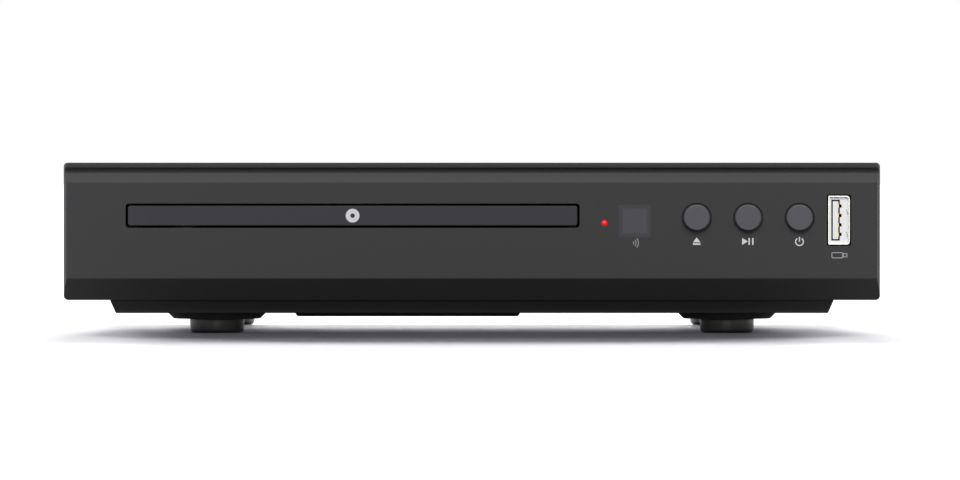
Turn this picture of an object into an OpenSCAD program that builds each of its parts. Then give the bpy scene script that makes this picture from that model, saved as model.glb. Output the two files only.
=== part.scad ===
// Compact disc player with a motor-driven tray.
// The front faces -Y, +X is to the viewer's right, Z = 0 is the surface it stands on.
// All sizes are in millimetres.

/* [Case] */
// Width over the fascia
case_w = 225; // [220:1:280]
// Depth from the fascia's face to the rear panel
case_d = 192; // [185:1:250]
// Height of the fascia
fascia_h = 37.9; // [36:0.1:50]
// Depth of the fascia moulding
fascia_d = 14; // [13.5:0.5:17]
// Wall of the fascia moulding
wall = 2.2; // [1.6:0.1:2.8]
// Sheet of the cover, the base pan and the rear panel
sheet = 0.8; // [0.5:0.1:1.2]
// Height of the fascia's lower slope
slope_h = 6; // [3:0.1:7]
// Setback of the lower slope at its bottom edge
slope_d = 4; // [2:0.1:5]
// Height of the upper facet
facet_h = 2.5; // [1.5:0.1:3.5]
// Setback of the upper facet
facet_d = 1.6; // [0.8:0.1:2.4]
// Height of the shadow groove over the facet
groove_h = 1.1; // [0.8:0.1:2]
// Depth of the shadow groove behind the facet's top edge
groove_d = 0.3; // [0.1:0.1:1.2]
// Height of the top lip
lip_h = 1.8; // [1.2:0.1:2.4]
// Setback of the top lip
lip_d = 0.9; // [0.5:0.1:1.5]
// Width of the rounded ends, seen from the front
end_w = 0.9; // [0.5:0.1:1.3]
// Depth of the rounded ends
end_d = 3.2; // [2:0.1:4]
// Drop from the fascia's top to the cover
cover_drop = 1; // [0.5:0.1:2]
// Setback of the cover's side from the fascia's end
cover_inset = 1; // [0.5:0.1:2]

/* [Base] */
// Depth that the pan is pressed below the rim
pan_step = 3.65; // [3:0.05:6]
// Distance from the fascia's end to the pan's pressed step
pan_inset = 12.6; // [11:0.1:16]
// Run of the sloped step
pan_slope = 1.6; // [1:0.1:3]
// Diameter of a rubber foot
foot_dia = 15.2; // [10:0.1:18]
// Height of a rubber foot
foot_h = 3.95; // [3:0.05:6]
// Height of the pressed boss over a foot
boss_h = 1.7; // [1:0.1:3]
// Diameter of the boss where the foot sits
boss_dia = 24; // [20:0.5:26]
// Distance of each foot from the middle
foot_x = 70.7; // [60:0.1:85]
// Distance of the feet from the fascia's face and from the rear panel
foot_y = 23; // [22:0.5:32]

/* [Disc loader] */
// Diameter of a disc
disc_dia = 120; // [96:1:124]
// Distance from the fascia's left end to the tray opening
slot_left = 17.15; // [14:0.05:20]
// Height of the tray door
door_h = 5.4; // [4.9:0.1:6.5]
// Height of the door's middle over the fascia's bottom edge
door_rise = 23.3; // [22:0.1:25]
// Gap around the door
door_gap = 0.66; // [0.4:0.02:1.2]
// Thickness of the door
door_t = 2.4; // [1.8:0.1:3]
// Thickness of the tray
tray_t = 4.8; // [4.6:0.1:4.8]
// Travel of the tray
tray_travel = 128; // [100:1:130]
// Running clearance of the tray on its ledges
tray_run = 0.2; // [0.15:0.05:0.4]
// Angle that the traverse drops through
drop_angle = 4.43; // [3:0.01:4.5]
// Distance from the traverse's hinge to its cam pins
lift_arm = 120; // [115:1:121]
// Travel of the cam slider
cam_travel = 16; // [14:0.5:17]
// Travel of the pickup
sled_travel = 34; // [28:1:35]
// Diameter of the turntable
table_dia = 29; // [24:0.5:29]
// Diameter of the turntable's hub
hub_dia = 14.8; // [13:0.1:14.9]

/* [Tray drive] */
// Tooth size of the rack and of the wheel that drives it
rack_mod = 1; // [0.8:0.05:1.2]
// Teeth of the wheel that drives the rack
rack_teeth = 18; // [16:1:20]
// Tooth size of the reduction pair
pair_mod = 0.8; // [0.7:0.05:1]
// Teeth of the large reduction wheel
wheel_teeth = 25; // [20:1:28]
// Teeth of the small reduction pinion
pinion_teeth = 12; // [12:1:14]
// Backlash taken off each tooth
backlash = 0.12; // [0.08:0.01:0.2]
// Radius of the belt's middle line on the large pulley
belt_r_big = 9.4; // [8:0.1:11]
// Radius of the belt's middle line on the motor pulley
belt_r_small = 3; // [2.4:0.1:4]
// Side of the belt's square section
belt_t = 1.2; // [0.8:0.1:1.6]

/* [Controls] */
// Diameter of a button
button_dia = 7.35; // [5.5:0.05:9]
// Gap around a button
button_gap = 0.5; // [0.3:0.05:0.8]
// Distance between buttons
button_pitch = 14.15; // [12:0.05:15]
// Distance from the fascia's right end to the nearest button
button_right = 22.3; // [21:0.1:28]
// Height of the buttons over the fascia's bottom edge
button_rise = 22.7; // [18:0.1:26]
// Height that a button stands proud
button_proud = 1; // [0.5:0.1:2]
// Travel of a button
button_press = 0.5; // [0.3:0.1:0.7]
// Distance from the tray opening to the indicator
led_step = 6.8; // [5:0.1:8]
// Diameter of the indicator
led_dia = 1.6; // [1.4:0.1:2.4]
// Distance from the tray opening to the remote sensor's window
sensor_step = 15.3; // [13.5:0.1:17]
// Width of the sensor window
sensor_w = 8.4; // [7:0.1:10]
// Height of the sensor window
sensor_h = 8.6; // [7:0.1:11]

/* [Front data socket] */
// Distance from the fascia's right end to the middle of the socket
data_right = 11.4; // [10:0.1:13]
// Width of the socket's shell across its tongue
data_w = 6; // [5:0.1:6.6]
// Height of the socket's shell
data_h = 13.5; // [12:0.1:15]
// Height of the socket's middle over the fascia's bottom edge
data_rise = 22.05; // [18:0.05:24]
// Wall of the shell
data_wall = 0.4; // [0.3:0.05:0.5]

/* [Rear sockets] */
// Outer diameter of a round socket
av_dia = 8.3; // [8:0.1:9]
// Distance between round sockets
av_pitch = 14; // [12:0.5:16]
// Height that the round sockets stand behind the rear panel
av_proud = 9; // [7:0.5:11]
// Width of the video socket's mouth
video_w = 15; // [13:0.1:16]
// Height of the video socket's mouth
video_h = 5.6; // [5:0.1:6.5]
// Width of the mains inlet's block
inlet_w = 20; // [18:0.5:22]
// Height of the mains inlet's block
inlet_h = 14; // [12:0.5:16]

/* [Hidden] */
$fn = 48;
join = 0.01;

// Case levels, from the floor up
pan_z = foot_h + boss_h;
rim_z = pan_z + pan_step;
top_z = rim_z + fascia_h;
cover_z = top_z - cover_drop;
pan_in_z = pan_z + sheet;

// Case lines, front to back
front_y = -(case_d + av_proud - button_proud) / 2;
rear_y = front_y + case_d;
fascia_y = front_y + fascia_d;
half_w = case_w / 2;
cover_x = half_w - cover_inset;
fit = 0.3;
tongue = 5;
tongue_x = cover_x - sheet - fit;
tongue_z = cover_z - sheet - fit;
inner_y = front_y + wall;

// Tray opening, door and tray
drive_step = 14;
door_w = disc_dia + 3.7;
slot_w = door_w + 2 * door_gap;
slot_h = door_h + 2 * door_gap;
slot_right = -half_w + slot_left + slot_w;
tray_x = -half_w + slot_left + slot_w / 2;
door_z = rim_z + door_rise;
tray_w = door_w - 0.5;
tray_z = door_z - door_h / 2 + 0.3;
tray_top = tray_z + tray_t;
tray_y0 = front_y + door_t;
tray_rim = 7.5;
rack_spare = 14;
drive_y = front_y + fascia_d + drive_step;
tray_y1 = drive_y + tray_travel + rack_spare;
well_r = disc_dia / 2 + 0.5;
well_z = tray_top - 1.4;
small_well_r = 40.5;
small_well_z = well_z - 0.7;
bay_r = table_dia / 2 + 7.5;
channel_z = tray_z + 2;

// Loader frame
frame_wall = 2;
tray_side = 2.4;
frame_x0 = tray_x - tray_w / 2 - tray_side - frame_wall;
frame_x1 = tray_x + tray_w / 2 + tray_side + frame_wall;
frame_y0 = front_y + fascia_d + 2;
motor_r = 10;
motor_y = fascia_y + tongue + motor_r + 0.6;
cam_t = 2.2;
pin_step = 0.8;
pin_y = max(motor_y + motor_r, drive_y + (wheel_teeth / 2 + 1) * pair_mod) + 1 + cam_t - pin_step;
hinge_y = pin_y + lift_arm;
lift_y0 = pin_y + 4;
lift_wall = 3;
spindle_r = 12;
axis_y = max(front_y + disc_dia / 2 + tray_rim, lift_y0 + lift_wall + spindle_r + 0.5);
frame_y1 = max(tray_y1, hinge_y + 8) + 4;
deck_z = tray_z - 10;
deck_t = 2;
wall_z = deck_z - 6;
ledge_z = tray_z - tray_run;
lip_z = tray_top + fit;
post_r = 3.4;
post_in = post_r + 1.6;
front_post_y = fascia_y + tongue + post_r + 0.5;
frame_posts = [for (x = [frame_x0 + post_in, frame_x1 - post_in])
    for (y = [front_post_y, frame_y1 - post_in]) [x, y]];

// Traverse, level when it is raised
hinge_z = deck_z + 1.8;
pin_r = 1.5;
lift_z = hinge_z - 3.5;
lift_t = 3;
lift_x = 49;
lift_bar = 6;
lift_y1 = hinge_y + 3;
mount_z = lift_z + lift_t + 3.9;
mount_t = 1.2;
mount_y0 = lift_y0 + lift_wall;
mount_y1 = hinge_y - 8;
damper_r = 4;
dampers_at = [for (sx = [-1, 1])
    for (y = [mount_y0 + 6, mount_y1 - 6]) [tray_x + sx * (lift_x - lift_bar / 2), y]];
seat_z = well_z + 1.4;
hub_z = seat_z + 2.2;
sled_y = axis_y + 24;
rod_x = 24;
rod_z = hinge_z;
rod_r = 1.5;
rod_y0 = sled_y - 14;
rod_y1 = sled_y + sled_travel + 14;
screw_x = tray_x + 34;
screw_z = mount_z - 5.4;
screw_r = 1.2;
feed_r = 5.2;

// Cam slider
cam_y = pin_y + pin_step;
cam_slot = pin_r + 0.4;
pin_drop = lift_arm * sin(drop_angle);
pins_x = [tray_x - 25, tray_x + 25];
cam_x0 = pins_x[0] - cam_travel - 5;
cam_x1 = pins_x[1] + 5;
cam_z0 = hinge_z - pin_drop - 3.6;
cam_z1 = hinge_z + 3.4;

// Clamp
clamp_z = tray_top + fit;
clamp_r = 15;
bridge_z = clamp_z + 3.2;
bridge_t = 2;
bridge_y = 13;

// Tray drive
press_a = 25;
rack_r = rack_mod * rack_teeth / 2;
wheel_r = pair_mod * wheel_teeth / 2;
pinion_r = pair_mod * pinion_teeth / 2;
rack_x = tray_x - tray_w / 2 + 4.25 + 1.25 * rack_mod;
drive_x = rack_x + rack_r;
pulley_x = drive_x + wheel_r + pinion_r;
motor_x = tray_x + 7.9;
wheel_z = deck_z + 0.4;
wheel_h = 2.4;
belt_z = wheel_z + wheel_h + 0.5;
belt_h = 2.5;
spin_fit = 0.1;
post_pin_r = 1.5;

// Controls
board_t = 1.6;
front_board_y = front_y + fascia_d + 0.4;
button_z = rim_z + button_rise;
buttons_x = [for (i = [2, 1, 0]) half_w - button_right - i * button_pitch];
button_hole = button_dia / 2 + button_gap;
flange_y = inner_y + fit;
flange_t = 1.2;
switch_h = 3.5;
switch_y = front_board_y - switch_h;
plunger_r = 1.6;
plunger_out = 0.8;
led_x = slot_right + led_step;
led_z = door_z - 2;
sensor_x = slot_right + sensor_step;
sensor_z = door_z - 1.4;
data_x = half_w - data_right;
data_z = rim_z + data_rise;
front_board_x0 = slot_right + 4.4;
front_board_x1 = tongue_x - 2.3;
front_board_z0 = rim_z + 4;
front_board_z1 = rim_z + fascia_h - 5;
front_posts = [[buttons_x[0] - 6.5, front_board_z0 + 4], [buttons_x[2] - 7, front_board_z0 + 4],
               [buttons_x[1] - 7, front_board_z1 - 3]];

// Boards
stand_z = pan_in_z + 5.5;
board_top = stand_z + board_t;
boards_y1 = rear_y - 4;
power_w = 25;
power_x1 = cover_x - sheet - 2;
power_x0 = power_x1 - power_w;
power_d = 130;
power_y0 = boards_y1 - power_d;
power_xm = (power_x0 + power_x1) / 2;
main_x0 = frame_x1 + 3;
main_x1 = power_x0 - 1.52;
main_d = 146;
main_y0 = boards_y1 - main_d;
board_posts = concat(
    [for (x = [main_x0 + 3.5, main_x1 - 3.5]) for (y = [main_y0 + 4, boards_y1 - 22]) [x, y]],
    [for (x = [power_x0 + 3.5, power_x1 - 3.5]) for (y = [power_y0 + 4, boards_y1 - 22]) [x, y]]);
av_x = main_x1 - 2 - av_pitch;
av_z = board_top + 6;
av_edge = 6;
socket_root = 0.4;
video_x = av_x - 2 * av_edge - video_w / 2;
video_z = board_top + 0.6 + video_h / 2;
inlet_z = board_top + inlet_h / 2;
socket_fit = 0.25;
rear_in_y = rear_y - sheet;

// Cover and rear screws
flange_z = 20;
side_screws_y = [fascia_y + 24, rear_y - 28];
side_screw_z = 16;
rear_screws_x = [-half_w + 14, -6, half_w - 8];
rear_screw_z = cover_z - 6;

// ---- Shared shapes ----

// Rectangle with round corners, about its middle
module soft_rect(w, h, r) {
    square([w - 2 * r, h], center = true);
    square([w, h - 2 * r], center = true);
    for (sx = [-1, 1])
        for (sy = [-1, 1])
            translate([sx * (w / 2 - r), sy * (h / 2 - r)]) circle(r);
}

// Points of an arc of radius r that rounds the corner b between a and c
function round_corner(a, b, c, r, steps = 4) =
    let (u = (a - b) / norm(a - b), v = (c - b) / norm(c - b), half = acos(u * v) / 2,
         middle = b + (u + v) / norm(u + v) * r / sin(half),
         from = b + u * r / tan(half) - middle,
         to = b + v * r / tan(half) - middle,
         start = atan2(from[1], from[0]),
         turn = atan2(cross(from, to), from * to))
    [for (i = [0:steps]) middle + r * [cos(start + turn * i / steps), sin(start + turn * i / steps)]];

// Closed outline with each corner rounded by its own radius, or kept sharp where that is 0
function round_outline(points, radii) =
    let (n = len(points))
    [for (i = [0:n - 1])
        each radii[i] == 0 ? [points[i]]
            : round_corner(points[(i + n - 1) % n], points[i], points[(i + 1) % n], radii[i])];

// Outline drawn in X and Z, extruded towards +Y from y
module along_y(y, depth) {
    translate([0, y, 0]) rotate([90, 0, 0]) translate([0, 0, -depth]) linear_extrude(depth) children();
}

// Outline drawn in Y and Z, extruded towards +X from x
module along_x(x, width) {
    translate([x, 0, 0]) rotate([90, 0, 90]) linear_extrude(width) children();
}

// Block given by its lowest and highest corners
module block(low, high) {
    translate(low) cube(high - low);
}

// Round bar along +Y
module bar_y(x, y, z, r, length) {
    translate([x, y, z]) rotate([-90, 0, 0]) cylinder(r = r, h = length);
}

// Round bar along +X
module bar_x(x, y, z, r, length) {
    translate([x, y, z]) rotate([0, 90, 0]) cylinder(r = r, h = length);
}

// Block whose four sides lean in by `lean` towards its bottom
module tub(x0, x1, y0, y1, z0, z1, lean) {
    intersection() {
        along_y(y0, y1 - y0) polygon([[x0 + lean, z0], [x1 - lean, z0], [x1, z1], [x0, z1]]);
        along_x(x0, x1 - x0) polygon([[y0 + lean, z0], [y1 - lean, z0], [y1, z1], [y0, z1]]);
    }
}

// Screw along -Z: a head on `z` and a shank below it, with a cross recess
module screw(head_r, head_h, shank_r, shank) {
    difference() {
        union() {
            cylinder(r1 = head_r, r2 = head_r * 0.72, h = head_h);
            translate([0, 0, -shank]) cylinder(r = shank_r, h = shank + join);
        }
        for (a = [0, 90])
            rotate(a) translate([-head_r * 0.5, -0.3, head_h * 0.35]) cube([head_r, 0.6, head_h]);
    }
}

// Half of a tooth's angle at radius r of an involute wheel
function tooth_half(m, teeth, r) =
    let (base = m * teeth / 2 * cos(press_a), a = acos(min(1, base / r)))
    90 / teeth - backlash / (m * teeth) * 180 / PI
    + (tan(press_a) - tan(a)) * 180 / PI - press_a + a;

// Toothed wheel, with a tooth centred on +X
module toothed(m, teeth) {
    base = m * teeth / 2 * cos(press_a);
    tip = m * teeth / 2 + m;
    root = m * teeth / 2 - 1.25 * m;
    start = max(base, root);
    steps = 5;
    function radius(k) = k == 0 ? root : start + (tip - start) * (k - 1) / (steps - 1);
    polygon([for (i = [0:teeth - 1]) for (side = [-1, 1]) for (j = [0:steps])
        let (k = side < 0 ? j : steps - j, r = radius(k),
             a = 360 * i / teeth + side * tooth_half(m, teeth, max(r, start)))
        r * [cos(a), sin(a)]]);
}

// Rack teeth that point to +X from the pitch line at x = 0, with a gap centred on y = 0
module rack_teeth_from(y0, y1) {
    pitch = PI * rack_mod;
    first = ceil(y0 / pitch + 0.5);
    last = floor(y1 / pitch - 0.5);
    half = pitch / 4 - backlash / 2;
    tip = half - rack_mod * tan(press_a);
    root = half + 1.3 * rack_mod * tan(press_a);
    for (i = [first:last])
        translate([0, (i - 0.5) * pitch])
            polygon([[-1.3 * rack_mod, -root], [rack_mod, -tip],
                     [rack_mod, tip], [-1.3 * rack_mod, root]]);
}

// Outline of a taut band around two pulleys
module band(c1, r1, c2, r2) {
    along = atan2(c2[1] - c1[1], c2[0] - c1[0]);
    lean = acos((r1 - r2) / norm(c2 - c1));
    steps = 32;
    function arc(c, r, from, to) =
        [for (i = [0:steps]) let (a = from + (to - from) * i / steps) c + r * [cos(a), sin(a)]];
    polygon(concat(arc(c2, r2, along - lean, along + lean), arc(c1, r1, along + lean, along + 360 - lean)));
}

// Pulley wheel with a V groove for the belt, from z = 0
module grooved(middle_r) {
    inner = middle_r - belt_t / 2 - spin_fit;
    rim = middle_r + belt_t / 2 + 0.2;
    lip = 0.4;
    flat = belt_t + 0.2;
    rotate_extrude()
        polygon([[0, 0], [rim, 0], [rim, lip], [inner, (belt_h - flat) / 2], [inner, (belt_h + flat) / 2],
                 [rim, belt_h - lip], [rim, belt_h], [0, belt_h]]);
}

// ---- Case ----

module fascia_outer() {
    facet_z = top_z - lip_h - groove_h - facet_h;
    facet_top = facet_z + facet_h;
    groove_y = front_y + facet_d + groove_d;
    lip_y = front_y + lip_d;
    intersection() {
        along_x(-half_w, case_w)
            polygon(round_outline(
                [[front_y + slope_d, rim_z], [front_y, rim_z + slope_h], [front_y, facet_z],
                 [front_y + facet_d, facet_top], [groove_y, facet_top + 0.2], [groove_y, top_z - lip_h],
                 [lip_y, top_z - lip_h * 0.9], [lip_y, top_z], [fascia_y, top_z], [fascia_y, rim_z]],
                [0, 0.8, 1, 0.3, 0, 0, 0.7, 0.3, 0, 0]));
        along_y(front_y, fascia_d)
            translate([0, rim_z + fascia_h / 2]) soft_rect(case_w, fascia_h, 1.2);
        translate([0, 0, rim_z]) linear_extrude(fascia_h) fascia_plan();
    }
}

// Outline of the fascia from above, with its ends rounded back
module fascia_plan() {
    polygon(round_outline(
        [[-half_w, fascia_y], [-half_w, front_y + end_d], [-half_w + end_w, front_y],
         [half_w - end_w, front_y], [half_w, front_y + end_d], [half_w, fascia_y]],
        [0, 2, 0.35, 0.35, 2, 0]));
}

module fascia_hollow() {
    facet_z = top_z - lip_h - groove_h - facet_h;
    groove_y = front_y + facet_d + groove_d;
    along_x(-half_w + wall, case_w - 2 * wall)
        polygon([[front_y + slope_d + wall, rim_z + wall], [inner_y, rim_z + slope_h + 0.6],
                 [inner_y, facet_z - 0.6], [groove_y + wall, facet_z + facet_h - 0.4],
                 [groove_y + wall, top_z - wall], [fascia_y + 1, top_z - wall],
                 [fascia_y + 1, rim_z + wall]]);
}

// Ring that the cover slides over
module fascia_tongue() {
    tongue_h = tongue_z - rim_z - sheet - fit;
    tongue_mid = tongue_z - tongue_h / 2;
    along_y(fascia_y - 3, tongue + 3)
        difference() {
            translate([0, tongue_mid]) soft_rect(2 * tongue_x, tongue_h, 1.6);
            translate([0, tongue_mid]) soft_rect(2 * tongue_x - 3.2, tongue_h - 3.2, 0.4);
        }
    along_y(fascia_y - 3, 3)
        difference() {
            translate([-half_w + wall / 2, rim_z + wall / 2]) square([case_w - wall, fascia_h - wall]);
            translate([0, tongue_mid]) soft_rect(2 * tongue_x - 3.2, tongue_h - 3.2, 0.4);
        }
}

module fascia() {
    color("#3f3f3f") difference() {
        union() {
            difference() {
                fascia_outer();
                fascia_hollow();
            }
            fascia_tongue();
            for (p = front_posts)
                bar_y(p[0], inner_y - 1, p[1], 2.5, front_board_y - inner_y + 1);
        }
        along_y(front_y - 1, wall + 2) translate([tray_x, door_z]) soft_rect(slot_w, slot_h, 0.9);
        for (x = buttons_x)
            bar_y(x, front_y - 1, button_z, button_hole, wall + 2);
        bar_y(led_x, front_y - 1, led_z, led_dia / 2 + 0.1, wall + 2);
        along_y(front_y - 1, wall + 2)
            translate([sensor_x, sensor_z]) soft_rect(sensor_w + 0.2, sensor_h + 0.2, 0.6);
        along_y(front_y - 1, wall + 2)
            translate([data_x, data_z]) soft_rect(data_w + 0.7, data_h + 0.7, 0.5);
        for (p = front_posts)
            bar_y(p[0], front_board_y - 6, p[1], 1.15, 8);
    }
}

module tray_door() {
    color("#3f3f3f") along_y(front_y, door_t) translate([tray_x, door_z]) soft_rect(door_w, door_h, 0.6);
}

// Openings in a side wall of the cover
module side_vents(x) {
    vent_pitch = 6;
    vent_w = 2.4;
    for (row = [0:1])
        for (i = [0:11])
            translate([x, fascia_y + 62 + i * vent_pitch, rim_z + 11 + row * 11]) cube([3, vent_w, 9]);
}

module top_cover() {
    color("#2b2b2c") difference() {
        along_y(fascia_y + 0.2, rear_y - fascia_y - 0.2)
            difference() {
                union() {
                    translate([-cover_x, rim_z + 0.5]) square([2 * cover_x, cover_z - rim_z - 2.5]);
                    translate([-cover_x + 2, rim_z + 0.5]) square([2 * cover_x - 4, cover_z - rim_z - 0.5]);
                    for (sx = [-1, 1]) translate([sx * (cover_x - 2), cover_z - 2]) circle(2);
                }
                translate([-cover_x + sheet, rim_z]) square([2 * (cover_x - sheet), cover_z - rim_z - 2]);
                translate([-cover_x + 2, rim_z]) square([2 * cover_x - 4, cover_z - rim_z - sheet]);
                for (sx = [-1, 1]) translate([sx * (cover_x - 2), cover_z - 2]) circle(2 - sheet);
            }
        side_vents(-cover_x - 1);
        side_vents(cover_x - 2);
        for (y = side_screws_y) for (sx = [-1, 1])
            bar_x(sx * cover_x - 3, y, side_screw_z, 1.7, 6);
    }
}

module base_pan() {
    pan_half = half_w - pan_inset;
    y0 = front_y + slope_d + 2;
    y1 = rear_in_y;
    boss_rise = boss_h + sheet / 2;
    bump_h = 1.4;
    bump_x0 = tray_x - 17.1;
    bump_x1 = tray_x + 46.9;
    bump_y0 = axis_y - 26;
    bump_y1 = axis_y + 70;
    color("#262627") difference() {
        union() {
            block([-cover_x + 1.1, fascia_y + 0.4, rim_z], [cover_x - 1.1, y1, rim_z + sheet]);
            tub(-pan_half, pan_half, y0, y1 - 1, pan_z, rim_z, pan_slope);
            for (sx = [-1, 1])
                for (y = [front_y + foot_y, rear_y - foot_y])
                    translate([sx * foot_x, y, foot_h])
                        cylinder(d1 = boss_dia, d2 = boss_dia + 2 * boss_rise, h = boss_rise);
            tub(bump_x0, bump_x1, bump_y0, bump_y1, pan_z - bump_h, pan_z + sheet / 2, 1.2);
            for (sx = [-1, 1])
                block([sx > 0 ? tongue_x - sheet + 0.2 : -tongue_x - 0.2, fascia_y + tongue + 1, rim_z],
                      [sx > 0 ? tongue_x + 0.2 : -tongue_x + sheet - 0.2, y1 - 1, flange_z]);
        }
        difference() {
            union() {
                tub(-pan_half + sheet, pan_half - sheet, y0 + sheet, y1 - 1 - sheet,
                    pan_in_z, rim_z + 2 * sheet, pan_slope);
                for (sx = [-1, 1])
                    for (y = [front_y + foot_y, rear_y - foot_y])
                        translate([sx * foot_x, y, foot_h + sheet])
                            cylinder(d1 = boss_dia - 2 * sheet, d2 = boss_dia - 2 * sheet + 2 * (boss_h + 1),
                                     h = boss_h + 1);
                tub(bump_x0 + sheet, bump_x1 - sheet, bump_y0 + sheet, bump_y1 - sheet,
                    pan_in_z - bump_h, pan_in_z + 1, 1.6);
            }
            for (p = board_posts)
                translate([p[0], p[1], pan_z]) cylinder(r1 = 4.2, r2 = 3, h = stand_z - pan_z);
        }
        for (p = board_posts)
            translate([p[0], p[1], pan_z - 1]) cylinder(r = 1.2, h = 12);
        for (p = frame_posts)
            translate([p[0], p[1], pan_z - 1]) cylinder(r = 1.2, h = 3);
        for (y = side_screws_y) for (sx = [-1, 1])
            bar_x(sx * cover_x - 3, y, side_screw_z, 1.2, 6);
        for (i = [0:9])
            block([main_x0 + 6 + i * 4, -30, pan_z - 1], [main_x0 + 8 + i * 4, 30, pan_z + 2]);
    }
}

module rear_panel() {
    color("#262627") difference() {
        along_y(rear_in_y, sheet)
            translate([0, (rim_z + cover_z - sheet) / 2])
                soft_rect(2 * tongue_x, cover_z - sheet - rim_z - 0.4, 1.6);
        along_y(rear_in_y - 1, sheet + 2) {
            for (i = [0:1]) for (j = [0:1])
                translate([av_x + i * av_pitch, av_z + j * av_pitch]) circle(av_dia / 2 + socket_fit);
            translate([video_x, video_z]) soft_rect(video_w + 2 * socket_fit, video_h + 2 * socket_fit, 0.6);
            translate([power_xm, inlet_z]) soft_rect(inlet_w - 2, inlet_h - 3, 1);
            for (i = [0:13])
                translate([-half_w + 26 + i * 4.4, rim_z + 5]) square([2.2, 12]);
            for (x = rear_screws_x) translate([x, rear_screw_z]) circle(1.2);
        }
    }
}

module rubber_feet() {
    color("#1c1c1c")
        for (sx = [-1, 1])
            for (y = [front_y + foot_y, rear_y - foot_y])
                translate([sx * foot_x, y, 0])
                    rotate_extrude()
                        polygon([[0, 0], [foot_dia / 2 - 0.9, 0], [foot_dia / 2 - 0.2, 0.7],
                                 [foot_dia / 2, foot_h], [0, foot_h]]);
}

module cover_screws() {
    color("#8d8f92") {
        for (y = side_screws_y) for (sx = [-1, 1])
            translate([sx * cover_x, y, side_screw_z]) rotate([0, sx * 90, 0]) screw(2.8, 1, 1.1, 3);
        for (x = rear_screws_x)
            translate([x, rear_y, rear_screw_z]) rotate([-90, 0, 0]) screw(2.8, 1.6, 1.1, 4);
    }
}

// ---- Controls ----

module button(x) {
    color("#5a5a5e") {
        rotate_y_profile(x, button_z)
            polygon([[0, front_y - button_proud], [button_dia / 2 - 0.35, front_y - button_proud],
                     [button_dia / 2, front_y - button_proud + 0.3], [button_dia / 2, flange_y - 0.01],
                     [button_hole + 0.7, flange_y], [button_hole + 0.7, flange_y + flange_t],
                     [2.2, flange_y + flange_t], [1.9, switch_y - plunger_out], [0, switch_y - plunger_out]]);
    }
}

// Turned solid about an axis along Y: the profile's x is the radius and its y is the place along Y
module rotate_y_profile(x, z) {
    translate([x, 0, z]) rotate([-90, 0, 0]) rotate_extrude() children();
}

module plunger(x) {
    color("#1f1f1f") bar_y(x, switch_y - plunger_out, button_z, plunger_r, plunger_out + 0.9);
}

module eject_button() { button(buttons_x[0]); }
module play_button() { button(buttons_x[1]); }
module power_button() { button(buttons_x[2]); }
module eject_plunger() { plunger(buttons_x[0]); }
module play_plunger() { plunger(buttons_x[1]); }
module power_plunger() { plunger(buttons_x[2]); }

module switch_bodies() {
    color("#8a8d90")
        for (x = buttons_x)
            difference() {
                block([x - 3, switch_y, button_z - 3], [x + 3, front_board_y, button_z + 3]);
                bar_y(x, switch_y - 1, button_z, plunger_r + 0.15, 1 + 0.9 + button_press + 0.2);
            }
}

module front_board() {
    color("#2c5a38") difference() {
        block([front_board_x0, front_board_y, front_board_z0],
              [front_board_x1, front_board_y + board_t, front_board_z1]);
        for (p = front_posts)
            bar_y(p[0], front_board_y - 1, p[1], 1.4, board_t + 2);
    }
}

module status_lamp() {
    color("#d02a20") rotate_y_profile(led_x, led_z)
        polygon([[0, front_y - 0.2], [led_dia / 2 - 0.3, front_y - 0.1], [led_dia / 2, front_y + 0.3],
                 [led_dia / 2, inner_y + 1], [1.5, inner_y + 1.2], [1.5, front_board_y], [0, front_board_y]]);
}

module sensor_window() {
    color("#4c4a50") {
        along_y(front_y, wall + 1)
            translate([sensor_x, sensor_z]) soft_rect(sensor_w, sensor_h, 0.5);
        along_y(inner_y, 1)
            translate([sensor_x, sensor_z]) soft_rect(sensor_w + 2, sensor_h + 2, 0.5);
    }
}

module remote_sensor() {
    color("#2a2023") {
        block([sensor_x - 3, front_board_y - 5, sensor_z - 3.5],
              [sensor_x + 3, front_board_y, sensor_z + 3.5]);
        bar_y(sensor_x, front_board_y - 6.4, sensor_z + 0.5, 2.2, 2);
    }
}

module data_shell() {
    y0 = front_y + 0.3;
    color("#d8d8d6") translate([data_x, 0, data_z]) difference() {
        along_y(y0, front_board_y - y0) square([data_w, data_h], center = true);
        along_y(y0 - 1, front_board_y - y0)
            square([data_w - 2 * data_wall, data_h - 2 * data_wall], center = true);
    }
}

module data_tongue() {
    x = data_x - data_w / 2 + 1.3;
    color("#e9e9e6") block([x, front_y + 1.4, data_z - 5.2], [x + 1.5, front_board_y - 1, data_z + 5.2]);
}

module data_contacts() {
    x = data_x - data_w / 2 + 2.8;
    color("#c9a13b")
        for (z = [-3.9, -1.3, 1.3, 3.9])
            block([x, front_y + 2.4, data_z + z - 0.5], [x + 0.2, front_board_y - 3, data_z + z + 0.5]);
}

// ---- Disc loader ----

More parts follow.
